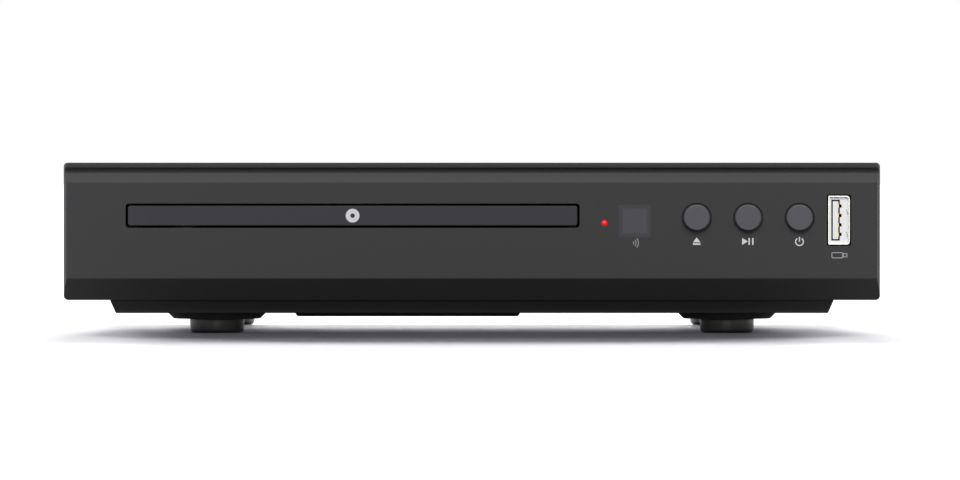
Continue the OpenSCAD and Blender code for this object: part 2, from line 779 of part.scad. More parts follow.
module loader_frame() {
    window_z = wall_z + 9;
    color("#262628") difference() {
        union() {
            for (x = [frame_x0, frame_x1 - frame_wall])
                block([x, frame_y0, wall_z], [x + frame_wall, frame_y1, lip_z + 1.2]);
            block([frame_x0, frame_y0, deck_z - deck_t], [frame_x1, cam_y - cam_t - 0.2, deck_z]);
            block([frame_x0, hinge_y - 8, wall_z], [frame_x1, frame_y1, wall_z + deck_t]);
            block([frame_x0, frame_y1 - frame_wall, wall_z], [frame_x1, frame_y1, tray_z - 1]);
            block([frame_x0, frame_y0, ledge_z - 1.6], [tray_x - tray_w / 2 + 2.2, frame_y1, ledge_z]);
            block([tray_x + tray_w / 2 - 2.2, frame_y0, ledge_z - 1.6], [frame_x1, frame_y1, ledge_z]);
            for (y = [frame_y0, axis_y - 34, axis_y + 26, frame_y1 - 14])
                for (side = [0, 1])
                    block([side ? tray_x + tray_w / 2 - 1.2 : frame_x0, y, lip_z],
                          [side ? frame_x1 : tray_x - tray_w / 2 + 1.2, y + 14, lip_z + 1.2]);
            for (x = [frame_x0, frame_x1 - 6])
                block([x, axis_y - bridge_y, lip_z], [x + 6, axis_y + bridge_y, bridge_z]);
            for (p = frame_posts)
                translate([p[0], p[1], pan_in_z])
                    cylinder(r = post_r, h = (p[1] < 0 ? deck_z : wall_z + deck_t) - pan_in_z);
            translate([drive_x, drive_y, deck_z - 1]) {
                cylinder(r = 3, h = 1.3);
                cylinder(r = post_pin_r, h = channel_z - deck_z + 0.4);
            }
            translate([pulley_x, drive_y, deck_z - 1]) {
                cylinder(r = 3, h = 1.3);
                cylinder(r = post_pin_r, h = belt_z + belt_h - deck_z + 1.2);
            }
            for (sx = [-1, 1])
                block([tray_x + sx * (lift_x + 2) - 1.5, hinge_y - 4, wall_z],
                      [tray_x + sx * (lift_x + 2) + 1.5, hinge_y + 4, hinge_z + 4]);
            for (x = [pins_x[0] - 2, pins_x[1] - 4]) {
                block([x, cam_y - cam_t - 2.2, cam_z0 - 1.6], [x + 6, cam_y - cam_t - 0.2, deck_z - 1]);
                block([x, cam_y - cam_t - 2.2, cam_z0 - 1.6], [x + 6, cam_y + 1.4, cam_z0 - 0.2]);
                block([x, cam_y + 0.2, cam_z0 - 1.6], [x + 6, cam_y + 1.4, cam_z0 + 1.2]);
            }
        }
        for (p = frame_posts)
            translate([p[0], p[1], 0]) cylinder(r = 1.6, h = deck_z + 1);
        translate([motor_x, motor_y, 0]) cylinder(r = 3.4, h = deck_z + 1);
        bar_x(tray_x - lift_x - 6, hinge_y, hinge_z, 2.2, 2 * lift_x + 12);
        for (x = [frame_x0 + 3.4, frame_x1 - 3.4])
            for (y = [axis_y - 8, axis_y + 8])
                translate([x, y, bridge_z - 2.4]) cylinder(r = 0.9, h = 4);
        block([frame_x0 - 1, axis_y - 30, wall_z - 1], [frame_x0 + frame_wall + 0.5, hinge_y - 24, window_z]);
        block([frame_x1 - frame_wall - 0.5, axis_y - 30, wall_z - 1], [frame_x1 + 1, hinge_y - 24, window_z]);
    }
}

module disc_tray() {
    x0 = tray_x - tray_w / 2;
    channel_x1 = drive_x + rack_r + rack_mod + 0.5;
    channel_y0 = drive_y - rack_r - rack_mod - 0.5;
    color("#333335") {
        difference() {
            block([x0, tray_y0, tray_z], [x0 + tray_w, tray_y1, tray_top]);
            translate([tray_x, axis_y, well_z]) cylinder(r = well_r, h = 3);
            translate([tray_x, axis_y, small_well_z]) cylinder(r = small_well_r, h = 3);
            translate([tray_x, axis_y, tray_z - 1]) cylinder(r = bay_r, h = tray_t + 2);
            block([tray_x - bay_r, axis_y, tray_z - 1], [tray_x + bay_r, tray_y1 + 1, tray_top + 1]);
            block([rack_x - 1.25 * rack_mod, channel_y0, tray_z - 1], [channel_x1, tray_y1 + 1, channel_z]);
            for (sx = [-1, 1])
                translate([tray_x + sx * (well_r - 9), tray_y0 + 2, tray_top - 1]) cylinder(r = 9, h = 2);
        }
        translate([rack_x, drive_y, tray_z]) linear_extrude(channel_z - tray_z)
            rack_teeth_from(channel_y0 - drive_y, tray_y1 - drive_y);
    }
}

module drive_gear() {
    color("#dcdad2") translate([drive_x, drive_y, 0]) difference() {
        union() {
            translate([0, 0, wheel_z]) linear_extrude(wheel_h) toothed(pair_mod, wheel_teeth);
            translate([0, 0, wheel_z]) cylinder(r = 3.4, h = channel_z - 0.3 - wheel_z);
            translate([0, 0, tray_z + 0.3]) linear_extrude(channel_z - tray_z - 0.6)
                rotate(180) toothed(rack_mod, rack_teeth);
        }
        translate([0, 0, wheel_z - 1]) cylinder(r = post_pin_r + spin_fit, h = 20);
    }
}

module pulley_gear() {
    color("#dcdad2") translate([pulley_x, drive_y, 0]) difference() {
        union() {
            translate([0, 0, wheel_z]) linear_extrude(belt_z - wheel_z)
                rotate(180 + 180 / pinion_teeth) toothed(pair_mod, pinion_teeth);
            translate([0, 0, belt_z]) grooved(belt_r_big);
        }
        translate([0, 0, wheel_z - 1]) cylinder(r = post_pin_r + spin_fit, h = 20);
    }
}

module motor_pulley() {
    color("#dcdad2") translate([motor_x, motor_y, belt_z]) difference() {
        grooved(belt_r_small);
        translate([0, 0, -1]) cylinder(r = 1, h = belt_h + 2);
    }
}

module motor_shaft() {
    low = deck_z - deck_t - 2;
    color("#b9bbbd") translate([motor_x, motor_y, low]) cylinder(r = 1, h = belt_z + belt_h - low);
}

module drive_belt() {
    c1 = [pulley_x, drive_y];
    c2 = [motor_x, motor_y];
    h = belt_t / 2;
    color("#1a1a1a") translate([0, 0, belt_z + belt_h / 2 - h]) linear_extrude(belt_t) difference() {
        band(c1, belt_r_big + h, c2, belt_r_small + h);
        band(c1, belt_r_big - h, c2, belt_r_small - h);
    }
}

module tray_motor() {
    top = deck_z - deck_t - 0.1;
    color("#a9abad") translate([motor_x, motor_y, 0]) difference() {
        union() {
            translate([0, 0, pan_in_z + 0.6]) cylinder(r = motor_r, h = top - pan_in_z - 0.6);
            translate([0, 0, top - 1]) cylinder(r = 3.1, h = 2);
        }
        translate([0, 0, top - 3]) cylinder(r = 1 + spin_fit, h = 6);
    }
}

module cam_slider() {
    color("#e4e2da") difference() {
        block([cam_x0, cam_y - cam_t, cam_z0], [cam_x1, cam_y, cam_z1]);
        for (x = pins_x)
            along_y(cam_y - cam_t - 1, cam_t + 2) {
                translate([x, hinge_z]) circle(cam_slot);
                translate([x - cam_travel, hinge_z - pin_drop]) circle(cam_slot);
                translate([x, hinge_z]) rotate(180 + atan2(pin_drop, cam_travel))
                    translate([0, -cam_slot]) square([norm([pin_drop, cam_travel]), 2 * cam_slot]);
            }
        for (i = [0:2])
            block([tray_x - 12 + i * 10, cam_y - cam_t - 1, cam_z0 + 3],
                  [tray_x - 6 + i * 10, cam_y + 1, cam_z1 - 3]);
    }
}

module lift_frame() {
    x0 = tray_x - lift_x;
    x1 = tray_x + lift_x;
    color("#303033") difference() {
        union() {
            for (x = [x0, x1 - lift_bar])
                block([x, lift_y0, lift_z], [x + lift_bar, lift_y1, lift_z + lift_t]);
            block([x0, lift_y0, lift_z], [x1, lift_y0 + lift_wall, lift_z + lift_t + 3]);
            block([x0, lift_y1 - 6, lift_z], [x1, lift_y1, lift_z + lift_t]);
            for (x = [x0, x1 - 4])
                block([x, hinge_y - 3, lift_z], [x + 4, hinge_y + 3, hinge_z + 2.5]);
            for (sx = [-1, 1])
                bar_x(sx > 0 ? x1 - 1 : x0 - 4, hinge_y, hinge_z, 2, 5);
            for (x = pins_x)
                bar_y(x, cam_y - cam_t, hinge_z, pin_r, lift_y0 - cam_y + cam_t + 1);
        }
        for (p = dampers_at)
            translate([p[0], p[1], lift_z - 1]) cylinder(r = 1, h = lift_t + 2);
    }
}

module traverse_plate() {
    x0 = tray_x - lift_x;
    x1 = tray_x + lift_x;
    color("#9b9da0") difference() {
        union() {
            block([x0, mount_y0, mount_z], [x1, mount_y1, mount_z + mount_t]);
            for (sx = [-1, 1])
                for (y = [rod_y0 - 2, rod_y1 - 1])
                    block([tray_x + sx * rod_x - 2.6, y, rod_z - 2.6],
                          [tray_x + sx * rod_x + 2.6, y + 3, mount_z + 0.5]);
            block([screw_x - 3, rod_y0 + 1, screw_z - 3], [screw_x + 3, rod_y0 + 3, mount_z + 0.5]);
        }
        block([tray_x - 19, axis_y + table_dia / 2 - 0.5, mount_z - 1],
              [tray_x + 19, rod_y1 - 5, mount_z + 2]);
        translate([tray_x, axis_y, mount_z - 1]) cylinder(r = 4, h = 3);
        for (p = dampers_at)
            translate([p[0], p[1], mount_z - 1]) cylinder(r = 1.4, h = 3);
        for (sx = [-1, 1])
            bar_y(tray_x + sx * rod_x, rod_y0 - 3, rod_z, rod_r, rod_y1 - rod_y0 + 6);
        bar_y(screw_x, rod_y0, screw_z, screw_r + spin_fit, 4);
    }
}

module dampers() {
    color("#4a4038")
        for (p = dampers_at)
            translate([p[0], p[1], lift_z + lift_t]) difference() {
                rotate_extrude()
                    polygon([[1.4, 0], [damper_r, 0], [damper_r - 0.9, (mount_z - lift_z - lift_t) / 2],
                             [damper_r, mount_z - lift_z - lift_t], [1.4, mount_z - lift_z - lift_t]]);
            }
}

module damper_screws() {
    color("#8d8f92")
        for (p = dampers_at)
            translate([p[0], p[1], mount_z + mount_t]) screw(2.6, 1.3, 1, mount_z + mount_t - lift_z);
}

module spindle_motor() {
    color("#b4b6b8") translate([tray_x, axis_y, 0]) difference() {
        union() {
            translate([0, 0, mount_z - 7.5]) cylinder(r = spindle_r, h = 7.5);
            translate([0, 0, mount_z - 0.5]) cylinder(r = 3.6, h = 3);
        }
        translate([0, 0, mount_z - 5]) cylinder(r = 1 + spin_fit, h = 12);
    }
}

module turntable() {
    low = seat_z - 3.2;
    color("#1f1f20") translate([tray_x, axis_y, 0]) rotate_extrude()
        polygon([[0, mount_z - 4], [1, mount_z - 4], [1, low - 1.4], [4, low - 1], [4, low],
                 [table_dia / 2 - 1, low], [table_dia / 2, low + 1], [table_dia / 2, seat_z],
                 [table_dia / 2 - 4, seat_z], [table_dia / 2 - 4.2, seat_z - 0.3],
                 [hub_dia / 2, seat_z - 0.3], [hub_dia / 2, hub_z - 1.2], [hub_dia / 2 - 1.4, hub_z],
                 [0, hub_z]]);
}

module guide_rods() {
    color("#c4c6c8")
        for (sx = [-1, 1])
            bar_y(tray_x + sx * rod_x, rod_y0 - 2, rod_z, rod_r, rod_y1 - rod_y0 + 4);
}

module pickup_sled() {
    color("#3a3a3d") difference() {
        union() {
            block([tray_x - rod_x - 3.5, sled_y - 9, rod_z - 3.4],
                  [tray_x + rod_x + 3.5, sled_y + 9, mount_z - 0.6]);
            block([tray_x - 9, sled_y - 8, rod_z], [tray_x + 9, sled_y + 8, seat_z - 3.8]);
            block([tray_x + rod_x + 3, sled_y - 3, screw_z - 1.4],
                  [screw_x - screw_r - 0.3, sled_y + 3, screw_z + 1.4]);
        }
        for (sx = [-1, 1])
            bar_y(tray_x + sx * rod_x, sled_y - 10, rod_z, rod_r + spin_fit, 20);
        translate([tray_x, sled_y, seat_z - 5.2]) cylinder(r = 5.5, h = 3);
    }
}

module pickup_lens() {
    low = seat_z - 5.2;
    color("#6f7f96") translate([tray_x, sled_y, low]) rotate_extrude()
        polygon([[0, 0], [5, 0], [5, 2], [3.2, 2.6], [2.4, 2.4], [0, 3]]);
}

module feed_motor() {
    y = rod_y1 - 6;
    color("#a9abad") difference() {
        union() {
            bar_y(screw_x, y, screw_z, feed_r, 14);
            block([screw_x - 3, y, screw_z], [screw_x + 3, y + 10, mount_z]);
        }
        bar_y(screw_x, y - 1, screw_z, screw_r + spin_fit, 6);
    }
}

module feed_screw() {
    y0 = rod_y0 + 1;
    y1 = rod_y1 - 2;
    color("#c4c6c8") bar_y(screw_x, y0, screw_z, screw_r, y1 - y0);
}

module clamp_bridge() {
    color("#8f9194") difference() {
        union() {
            block([frame_x0, axis_y - bridge_y, bridge_z],
                  [frame_x1, axis_y + bridge_y, bridge_z + bridge_t]);
            translate([tray_x, axis_y, bridge_z]) cylinder(r = 20, h = bridge_t);
        }
        translate([tray_x, axis_y, bridge_z - 1]) cylinder(r = 9.5, h = bridge_t + 2);
        for (x = [frame_x0 + 3.4, frame_x1 - 3.4])
            for (y = [axis_y - 8, axis_y + 8])
                translate([x, y, bridge_z - 1]) cylinder(r = 1.3, h = bridge_t + 2);
    }
}

module disc_clamp() {
    top = bridge_z + bridge_t + 0.1;
    color("#dad8d0") translate([tray_x, axis_y, 0]) difference() {
        rotate_extrude()
            polygon([[0, clamp_z], [clamp_r, clamp_z], [clamp_r, clamp_z + 1.6], [9, clamp_z + 2],
                     [9, top], [12, top], [12, top + 1], [0, top + 1]]);
        translate([0, 0, clamp_z - 1]) cylinder(r = hub_dia / 2 + 0.9, h = hub_z - clamp_z + 1.5);
        translate([0, 0, hub_z + 1]) cylinder(r = 6.1, h = 10);
    }
}

module clamp_magnet() {
    color("#55575a") translate([tray_x, axis_y, hub_z + 1]) difference() {
        cylinder(r = 6, h = 2);
        translate([0, 0, -1]) cylinder(r = 2, h = 4);
    }
}

module loader_screws() {
    color("#8d8f92") {
        for (p = frame_posts)
            let (seat = p[1] < 0 ? deck_z : wall_z + deck_t)
                translate([p[0], p[1], seat]) screw(2.8, 1.6, 1.5, seat - pan_in_z - 0.1);
        for (x = [frame_x0 + 3.4, frame_x1 - 3.4])
            for (y = [axis_y - 8, axis_y + 8])
                translate([x, y, bridge_z + bridge_t]) screw(2.2, 1.2, 0.8, 4);
    }
}

// ---- Electronics ----

module board(x0, x1, y0, y1, holes) {
    difference() {
        block([x0, y0, stand_z], [x1, y1, board_top]);
        for (p = holes)
            translate([p[0], p[1], stand_z - 1]) cylinder(r = 1.5, h = board_t + 2);
    }
}

module main_board() {
    color("#2c5a38") board(main_x0, main_x1, main_y0, boards_y1, board_posts);
}

module main_chips() {
    color("#202022") {
        block([main_x0 + 14, main_y0 + 44, board_top], [main_x0 + 34, main_y0 + 64, board_top + 1.6]);
        block([main_x0 + 10, main_y0 + 74, board_top], [main_x0 + 21, main_y0 + 92, board_top + 1.2]);
        block([main_x0 + 26, main_y0 + 74, board_top], [main_x0 + 32, main_y0 + 82, board_top + 1.4]);
        block([main_x0 + 14, main_y0 + 16, board_top], [main_x0 + 26, main_y0 + 28, board_top + 1.6]);
    }
}

module video_socket() {
    color("#d3d3d1") difference() {
        along_y(rear_y - 13, 13) translate([video_x, video_z]) soft_rect(video_w, video_h, 0.5);
        difference() {
            along_y(rear_y - 11, 12)
                translate([video_x, video_z]) soft_rect(video_w - 0.9, video_h - 0.9, 0.4);
            block([video_x - 5.6, rear_y - 12, video_z - 0.7], [video_x + 5.6, rear_y - 1.5, video_z + 0.7]);
        }
    }
    color("#d3d3d1")
        block([video_x - 5, rear_y - 12, board_top], [video_x + 5, rear_y - 4.5, video_z - video_h / 2]);
}

module av_block() {
    x0 = av_x - av_edge;
    color("#1e1e1f") difference() {
        block([x0, rear_in_y - 12, board_top],
              [x0 + av_pitch + 2 * av_edge, rear_in_y - 0.2, av_z + av_pitch + av_edge]);
        for (i = [0:1]) for (j = [0:1])
            bar_y(av_x + i * av_pitch, rear_in_y - 6, av_z + j * av_pitch, av_dia / 2 - 0.6, 8);
    }
}

module av_sleeves() {
    color("#c9a13b")
        for (i = [0:1]) for (j = [0:1])
            translate([av_x + i * av_pitch, 0, av_z + j * av_pitch]) difference() {
                union() {
                    bar_y(0, rear_in_y - 6, 0, av_dia / 2 - 0.6, sheet + 6.5);
                    bar_y(0, rear_y + socket_root, 0, av_dia / 2, av_proud - socket_root);
                }
                bar_y(0, rear_in_y - 4, 0, 1.6, 20);
            }
}

module power_board() {
    color("#8a6a3c") board(power_x0, power_x1, power_y0, boards_y1, board_posts);
}

module transformer() {
    y = power_y0 + 52;
    color("#c9b26a") {
        block([power_xm - 9, y, board_top], [power_xm + 9, y + 20, board_top + 17]);
        block([power_xm - 10, y + 4, board_top + 3], [power_xm + 10, y + 16, board_top + 14]);
    }
}

module capacitors() {
    color("#2a3350") {
        translate([power_xm, power_y0 + 84, board_top]) cylinder(r = 6.5, h = 22);
        translate([power_xm - 5, power_y0 + 40, board_top]) cylinder(r = 4, h = 14);
        translate([power_xm + 5, power_y0 + 40, board_top]) cylinder(r = 4, h = 14);
        translate([main_x0 + 40, main_y0 + 60, board_top]) cylinder(r = 2.5, h = 7);
        translate([main_x0 + 40, main_y0 + 68, board_top]) cylinder(r = 2.5, h = 7);
    }
}

// Figure-of-eight recess for the mains plug
module inlet_recess() {
    for (sx = [-1, 1]) translate([power_xm + sx * 3.6, inlet_z]) circle(3.9);
    translate([power_xm, inlet_z]) square([7.2, 6.8], center = true);
}

module mains_inlet() {
    color("#19191a") difference() {
        union() {
            block([power_xm - inlet_w / 2, rear_in_y - 17, board_top],
                  [power_xm + inlet_w / 2, rear_in_y - 0.1, board_top + inlet_h]);
            along_y(rear_in_y - 1, sheet + 2.2)
                translate([power_xm, inlet_z]) soft_rect(inlet_w - 2.6, inlet_h - 3.6, 1.2);
        }
        along_y(rear_in_y - 12, 20) inlet_recess();
        for (sx = [-1, 1])
            bar_y(power_xm + sx * 4.3, rear_in_y - 16, inlet_z, 1.2, 6);
    }
}

module inlet_pins() {
    color("#c8c9ca")
        for (sx = [-1, 1])
            bar_y(power_xm + sx * 4.3, rear_in_y - 16, inlet_z, 1.2, 13);
}

module board_screws() {
    color("#8d8f92") {
        for (p = board_posts)
            translate([p[0], p[1], board_top]) screw(2.8, 1.4, 1.15, 4);
        for (p = front_posts)
            translate([p[0], front_board_y + board_t, p[1]]) rotate([-90, 0, 0]) screw(2.4, 1.3, 1.1, 6);
    }
}

module front_ribbon() {
    x = buttons_x[0] - 4;
    y0 = front_board_y + board_t;
    z = front_board_z0 + 12;
    color("#e6e4dc") {
        block([x, y0, z - 2], [x + 14, y0 + 4, z + 2]);
        block([x + 1, y0 + 4, z - 0.2], [x + 13, main_y0 + 6, z + 0.2]);
        block([x + 1, main_y0 + 6, board_top + 2], [x + 13, main_y0 + 6.4, z + 0.2]);
        block([x, main_y0 + 4, board_top], [x + 14, main_y0 + 8, board_top + 4]);
    }
}

module power_ribbon() {
    y = boards_y1 - 52;
    z = board_top + 9;
    color("#b0342c") {
        block([main_x1 - 7, y, board_top], [main_x1 - 2, y + 14, board_top + 5]);
        block([power_x0 + 1, y, board_top], [power_x0 + 5, y + 14, board_top + 5]);
        for (i = [0:3]) {
            block([main_x1 - 5, y + 1.4 + i * 3, board_top + 5 - join], [main_x1 - 4, y + 2.4 + i * 3, z]);
            block([main_x1 - 5, y + 1.4 + i * 3, z - 1], [power_x0 + 4, y + 2.4 + i * 3, z]);
            block([power_x0 + 3, y + 1.4 + i * 3, board_top + 5 - join], [power_x0 + 4, y + 2.4 + i * 3, z]);
        }
    }
}

fascia();
tray_door();
top_cover();
base_pan();
rear_panel();
rubber_feet();
cover_screws();
eject_button();
play_button();
power_button();
eject_plunger();
play_plunger();
power_plunger();
switch_bodies();
front_board();
status_lamp();
sensor_window();
remote_sensor();
data_shell();
data_tongue();
data_contacts();
loader_frame();
disc_tray();
drive_gear();
pulley_gear();
motor_pulley();
motor_shaft();
drive_belt();
tray_motor();
cam_slider();
lift_frame();
traverse_plate();
dampers();
damper_screws();
spindle_motor();
turntable();
guide_rods();
pickup_sled();
pickup_lens();
feed_motor();
feed_screw();
clamp_bridge();
disc_clamp();
clamp_magnet();
loader_screws();
main_board();
main_chips();
video_socket();
av_block();
av_sleeves();
power_board();
transformer();
capacitors();
mains_inlet();
inlet_pins();
board_screws();
front_ribbon();
power_ribbon();
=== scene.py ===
import math

import bmesh
import bpy
from mathutils import Matrix, Vector


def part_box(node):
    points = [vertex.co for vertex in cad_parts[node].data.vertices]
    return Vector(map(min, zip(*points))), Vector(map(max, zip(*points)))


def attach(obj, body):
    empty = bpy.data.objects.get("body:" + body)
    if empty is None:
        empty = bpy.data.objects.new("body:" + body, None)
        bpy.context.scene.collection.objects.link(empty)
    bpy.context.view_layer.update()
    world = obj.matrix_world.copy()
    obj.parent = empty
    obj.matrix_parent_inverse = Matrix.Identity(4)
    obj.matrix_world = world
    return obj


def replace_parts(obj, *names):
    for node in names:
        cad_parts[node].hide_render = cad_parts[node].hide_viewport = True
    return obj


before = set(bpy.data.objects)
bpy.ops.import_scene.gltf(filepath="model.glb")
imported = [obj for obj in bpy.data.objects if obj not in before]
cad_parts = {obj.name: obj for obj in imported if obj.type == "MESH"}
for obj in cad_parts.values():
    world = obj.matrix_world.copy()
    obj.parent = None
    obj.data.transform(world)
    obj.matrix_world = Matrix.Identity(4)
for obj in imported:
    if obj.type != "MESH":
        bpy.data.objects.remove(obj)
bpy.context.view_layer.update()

# ---- Camera, floor and light ----
# The player stands on white paper, and a long lens looks at its front from just above the paper.
# Broad soft lamps light the player, and others behind it lay its shadow on the paper.

# Sizes are in millimetres, and MM turns them into metres. The lens takes in VIEW_WIDTH at the
# player's face, and AIM is the point in the middle of that view.
MM = 0.001
VIEW_WIDTH = 264.3
LENS_DISTANCE = 3050
LENS_HEIGHT = 50
AIM = (2.24, -100, 25.9)


def linear(colour):
    """An sRGB hex colour as the linear red, green, blue and alpha that a shader takes."""
    parts = [int(colour[i:i + 2], 16) / 255 for i in (1, 3, 5)]
    return [c / 12.92 if c <= 0.04045 else ((c + 0.055) / 1.055) ** 2.4 for c in parts] + [1.0]


def node(tree, kind, settings=None, links=None):
    """Adds one node to a tree, with its settings and with links into its inputs."""
    made = tree.nodes.new("ShaderNode" + kind)
    for key, value in (settings or {}).items():
        if isinstance(key, int) or key in made.inputs:
            made.inputs[key].default_value = value
        else:
            setattr(made, key, value)
    for key, socket in (links or {}).items():
        tree.links.new(socket, made.inputs[key])
    return made


def seen_directly(tree):
    """1 for what the lens sees, also in a shiny surface or through glass, and 0 for the light that
    surfaces throw on."""
    path = node(tree, "LightPath")
    straight = node(tree, "Math", {"operation": "MAXIMUM"},
                    {0: path.outputs["Is Camera Ray"], 1: path.outputs["Is Transmission Ray"]}).outputs[0]
    return node(tree, "Math", {"operation": "MAXIMUM"},
                {0: straight, 1: path.outputs["Is Glossy Ray"]}).outputs[0]


def soft_lamp(name, strength, spread, height, turn, floor_lit):
    """A distant soft lamp that lights either the floor alone or everything but the floor.
    spread, height and turn are in degrees, and turn is 0 in front and 90 on the right."""
    lamp = bpy.data.lights.new(name, "SUN")
    lamp.energy = strength
    lamp.angle = math.radians(spread)
    hung = bpy.data.objects.new(name, lamp)
    hung.rotation_euler = (math.radians(90 - height), 0, math.radians(turn))
    bpy.context.scene.collection.objects.link(hung)
    lit = bpy.data.collections.new(name + "_lights")
    lit.objects.link(floor)
    if not floor_lit:
        lit.collection_objects[0].light_linking.link_state = "EXCLUDE"
    hung.light_linking.receiver_collection = lit


lens = bpy.data.cameras.new("front_lens")
lens.sensor_width = 36
lens.lens = lens.sensor_width * LENS_DISTANCE / VIEW_WIDTH
camera = bpy.data.objects.new("front_camera", lens)
camera.location = Vector((AIM[0], AIM[1] - LENS_DISTANCE, LENS_HEIGHT)) * MM
tilt = math.atan2(LENS_HEIGHT - AIM[2], LENS_DISTANCE)
camera.rotation_euler = (math.pi / 2 - tilt, 0, 0)
bpy.context.scene.collection.objects.link(camera)
bpy.context.scene.camera = camera
bpy.context.scene.view_settings.view_transform = "Standard"

# The paper shows the player's soft shadow. What it throws back up is dim, so that the underside
# stays dark, and a faint glow of its own keeps the deepest shadow off black. It reaches 14 m each way.
FLOOR_HALF = 14
floor_corners = [(x * FLOOR_HALF, y * FLOOR_HALF, 0) for x, y in ((-1, -1), (1, -1), (1, 1), (-1, 1))]
floor_mesh = bpy.data.meshes.new("floor")
floor_mesh.from_pydata(floor_corners, [], [(0, 1, 2, 3)])
floor = bpy.data.objects.new("floor", floor_mesh)
bpy.context.scene.collection.objects.link(floor)
paper = bpy.data.materials.new("white_paper_floor")
paper.use_nodes = True
paper_tree = paper.node_tree
paper_tree.nodes.clear()
matt = node(paper_tree, "BsdfDiffuse", {"Color": linear("#c4c4c7")})
glow = node(paper_tree, "Emission", {"Color": linear("#eae9ff"), "Strength": 0.041})
face = node(paper_tree, "AddShader", None, {0: matt.outputs[0], 1: glow.outputs[0]})
bounce = node(paper_tree, "BsdfDiffuse", {"Color": linear("#5a5a5c")})
shown = node(paper_tree, "MixShader", None,
             {0: seen_directly(paper_tree), 1: bounce.outputs[0], 2: face.outputs[0]})
node(paper_tree, "OutputMaterial", None, {"Surface": shown.outputs[0]})
floor_mesh.materials.append(paper)

# The front pair lights the player's face, a faint low lamp reaches under it, and one lights its
# back. Each line gives a lamp's strength, spread, height and turn.
for name, strength, spread, height, turn in (("left_lamp", 1.6, 36, 50, -28),
                                             ("right_lamp", 1.6, 36, 50, 28),
                                             ("low_lamp", 0.35, 20, 8, 0),
                                             ("back_lamp", 1.5, 36, 50, 180)):
    soft_lamp(name, strength, spread, height, turn, False)
# One low lamp and five pairs behind the player light the paper and lay its shadow towards the
# lens. The lowest shine in under the pan.
soft_lamp("floor_lamp_low", 30, 3, 3, 180, True)
for level, strength, spread, height, turn in (("steep", 0.52, 20, 32, 10), ("high", 3.6, 8, 18, 16),
                                              ("middle", 2.7, 8, 15, 8), ("wide", 3.4, 10, 12, 25),
                                              ("low", 21, 3, 3, 8)):
    soft_lamp("floor_lamp_left_" + level, strength, spread, height, 180 + turn, True)
    soft_lamp("floor_lamp_right_" + level, strength, spread, height, 180 - turn, True)

# The sky is white where it is seen, and gives the player only a little light.
SKY_LEVEL = 0.08
sky = bpy.data.worlds.new("pale_studio")
sky.use_nodes = True
air = sky.node_tree
air.nodes.clear()
dim = node(air, "Background", {"Color": linear("#ffffff"), "Strength": SKY_LEVEL})
white = node(air, "Background", {"Color": linear("#ffffff"), "Strength": 1.0})
both = node(air, "MixShader", None, {0: seen_directly(air), 1: dim.outputs[0], 2: white.outputs[0]})
node(air, "OutputWorld", None, {"Surface": both.outputs[0]})
bpy.context.scene.world = sky


# ---- Base pan ----
# The pan is pressed from 0.8 mm steel sheet, is powder coated dark grey and carries everything
# else. Its middle steps down to a floor with a round boss over each foot and a row of slots.
def finish(name, colour, second, rough, grain, depth, patch=14, **values):
    """A material of two close colours in patches, with a range of roughness and a fine grain.
    patch and grain are sizes in millimetres and depth is the grain's height in millimetres."""
    made = bpy.data.materials.new(name)
    made.use_nodes = True
    tree = made.node_tree
    shader = tree.nodes["Principled BSDF"]
    for key, value in values.items():
        shader.inputs[key.replace("_", " ")].default_value = value
    place = node(tree, "TexCoord").outputs["Object"]
    cloud = node(tree, "TexNoise", {"Scale": 1 / (patch * MM), "Detail": 3.0}, {"Vector": place})
    tone = node(tree, "Mix", {"data_type": "RGBA", 6: linear(colour), 7: linear(second)},
                {0: cloud.outputs["Fac"]})
    shine = node(tree, "MapRange", {"To Min": rough[0], "To Max": rough[1]}, {"Value": cloud.outputs["Fac"]})
    fine = node(tree, "TexNoise", {"Scale": 1 / (grain * MM), "Detail": 2.0}, {"Vector": place})
    relief = node(tree, "Bump", {"Strength": 1.0, "Distance": depth * MM}, {"Height": fine.outputs["Fac"]})
    tree.links.new(tone.outputs[2], shader.inputs["Base Color"])
    tree.links.new(shine.outputs[0], shader.inputs["Roughness"])
    tree.links.new(relief.outputs[0], shader.inputs["Normal"])
    return made


WELD_GAP = 0.002
FLAT_ANGLE = 0.4


def dress(name, material, edge=0.15, angle=30, steps=2):
    """Gives a CAD node its material and rounds its sharp edges by `edge` millimetres. Points
    closer than WELD_GAP become one, and faces within FLAT_ANGLE degrees become one flat face."""
    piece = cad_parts[name]
    piece.material_slots[0].material = material
    weld = piece.modifiers.new("one_skin", "WELD")
    weld.merge_threshold = WELD_GAP * MM
    flat = piece.modifiers.new("flat_faces", "DECIMATE")
    flat.decimate_type = "DISSOLVE"
    flat.angle_limit = math.radians(FLAT_ANGLE)
    if edge:
        bevel = piece.modifiers.new("soft_edges", "BEVEL")
        bevel.width = edge * MM
        bevel.segments = steps
        bevel.limit_method = "ANGLE"
        bevel.angle_limit = math.radians(angle)
        bevel.use_clamp_overlap = False
    shade = piece.modifiers.new("even_shading", "WEIGHTED_NORMAL")
    shade.keep_sharp = True
    return piece


# Powder coat on steel with a faint orange peel. Its dark grey is lighter than the cover's coat. That is
# painted light, which makes up for the shade the pan lies in under the fascia.
pan_coat_painted_light = finish("pan_powder_coat_painted_light", "#464647", "#4b4b4c", (0.5, 0.6), 0.7, 0.012,
                  Specular_IOR_Level=0.15)
dress("base_pan", pan_coat_painted_light, 0.25)

# ---- Rubber feet ----
# Four round feet of solid black rubber, pushed into the pan's bosses. They flare a little towards
# the pan and their lower edge is rounded.

# Moulded rubber: near black, with a smooth skin that shows a soft streak of light.
foot_rubber = finish("moulded_black_rubber", "#383838", "#3e3e3d", (0.32, 0.42), 0.5, 0.004, patch=5)
dress("rubber_feet", foot_rubber, 0.3)
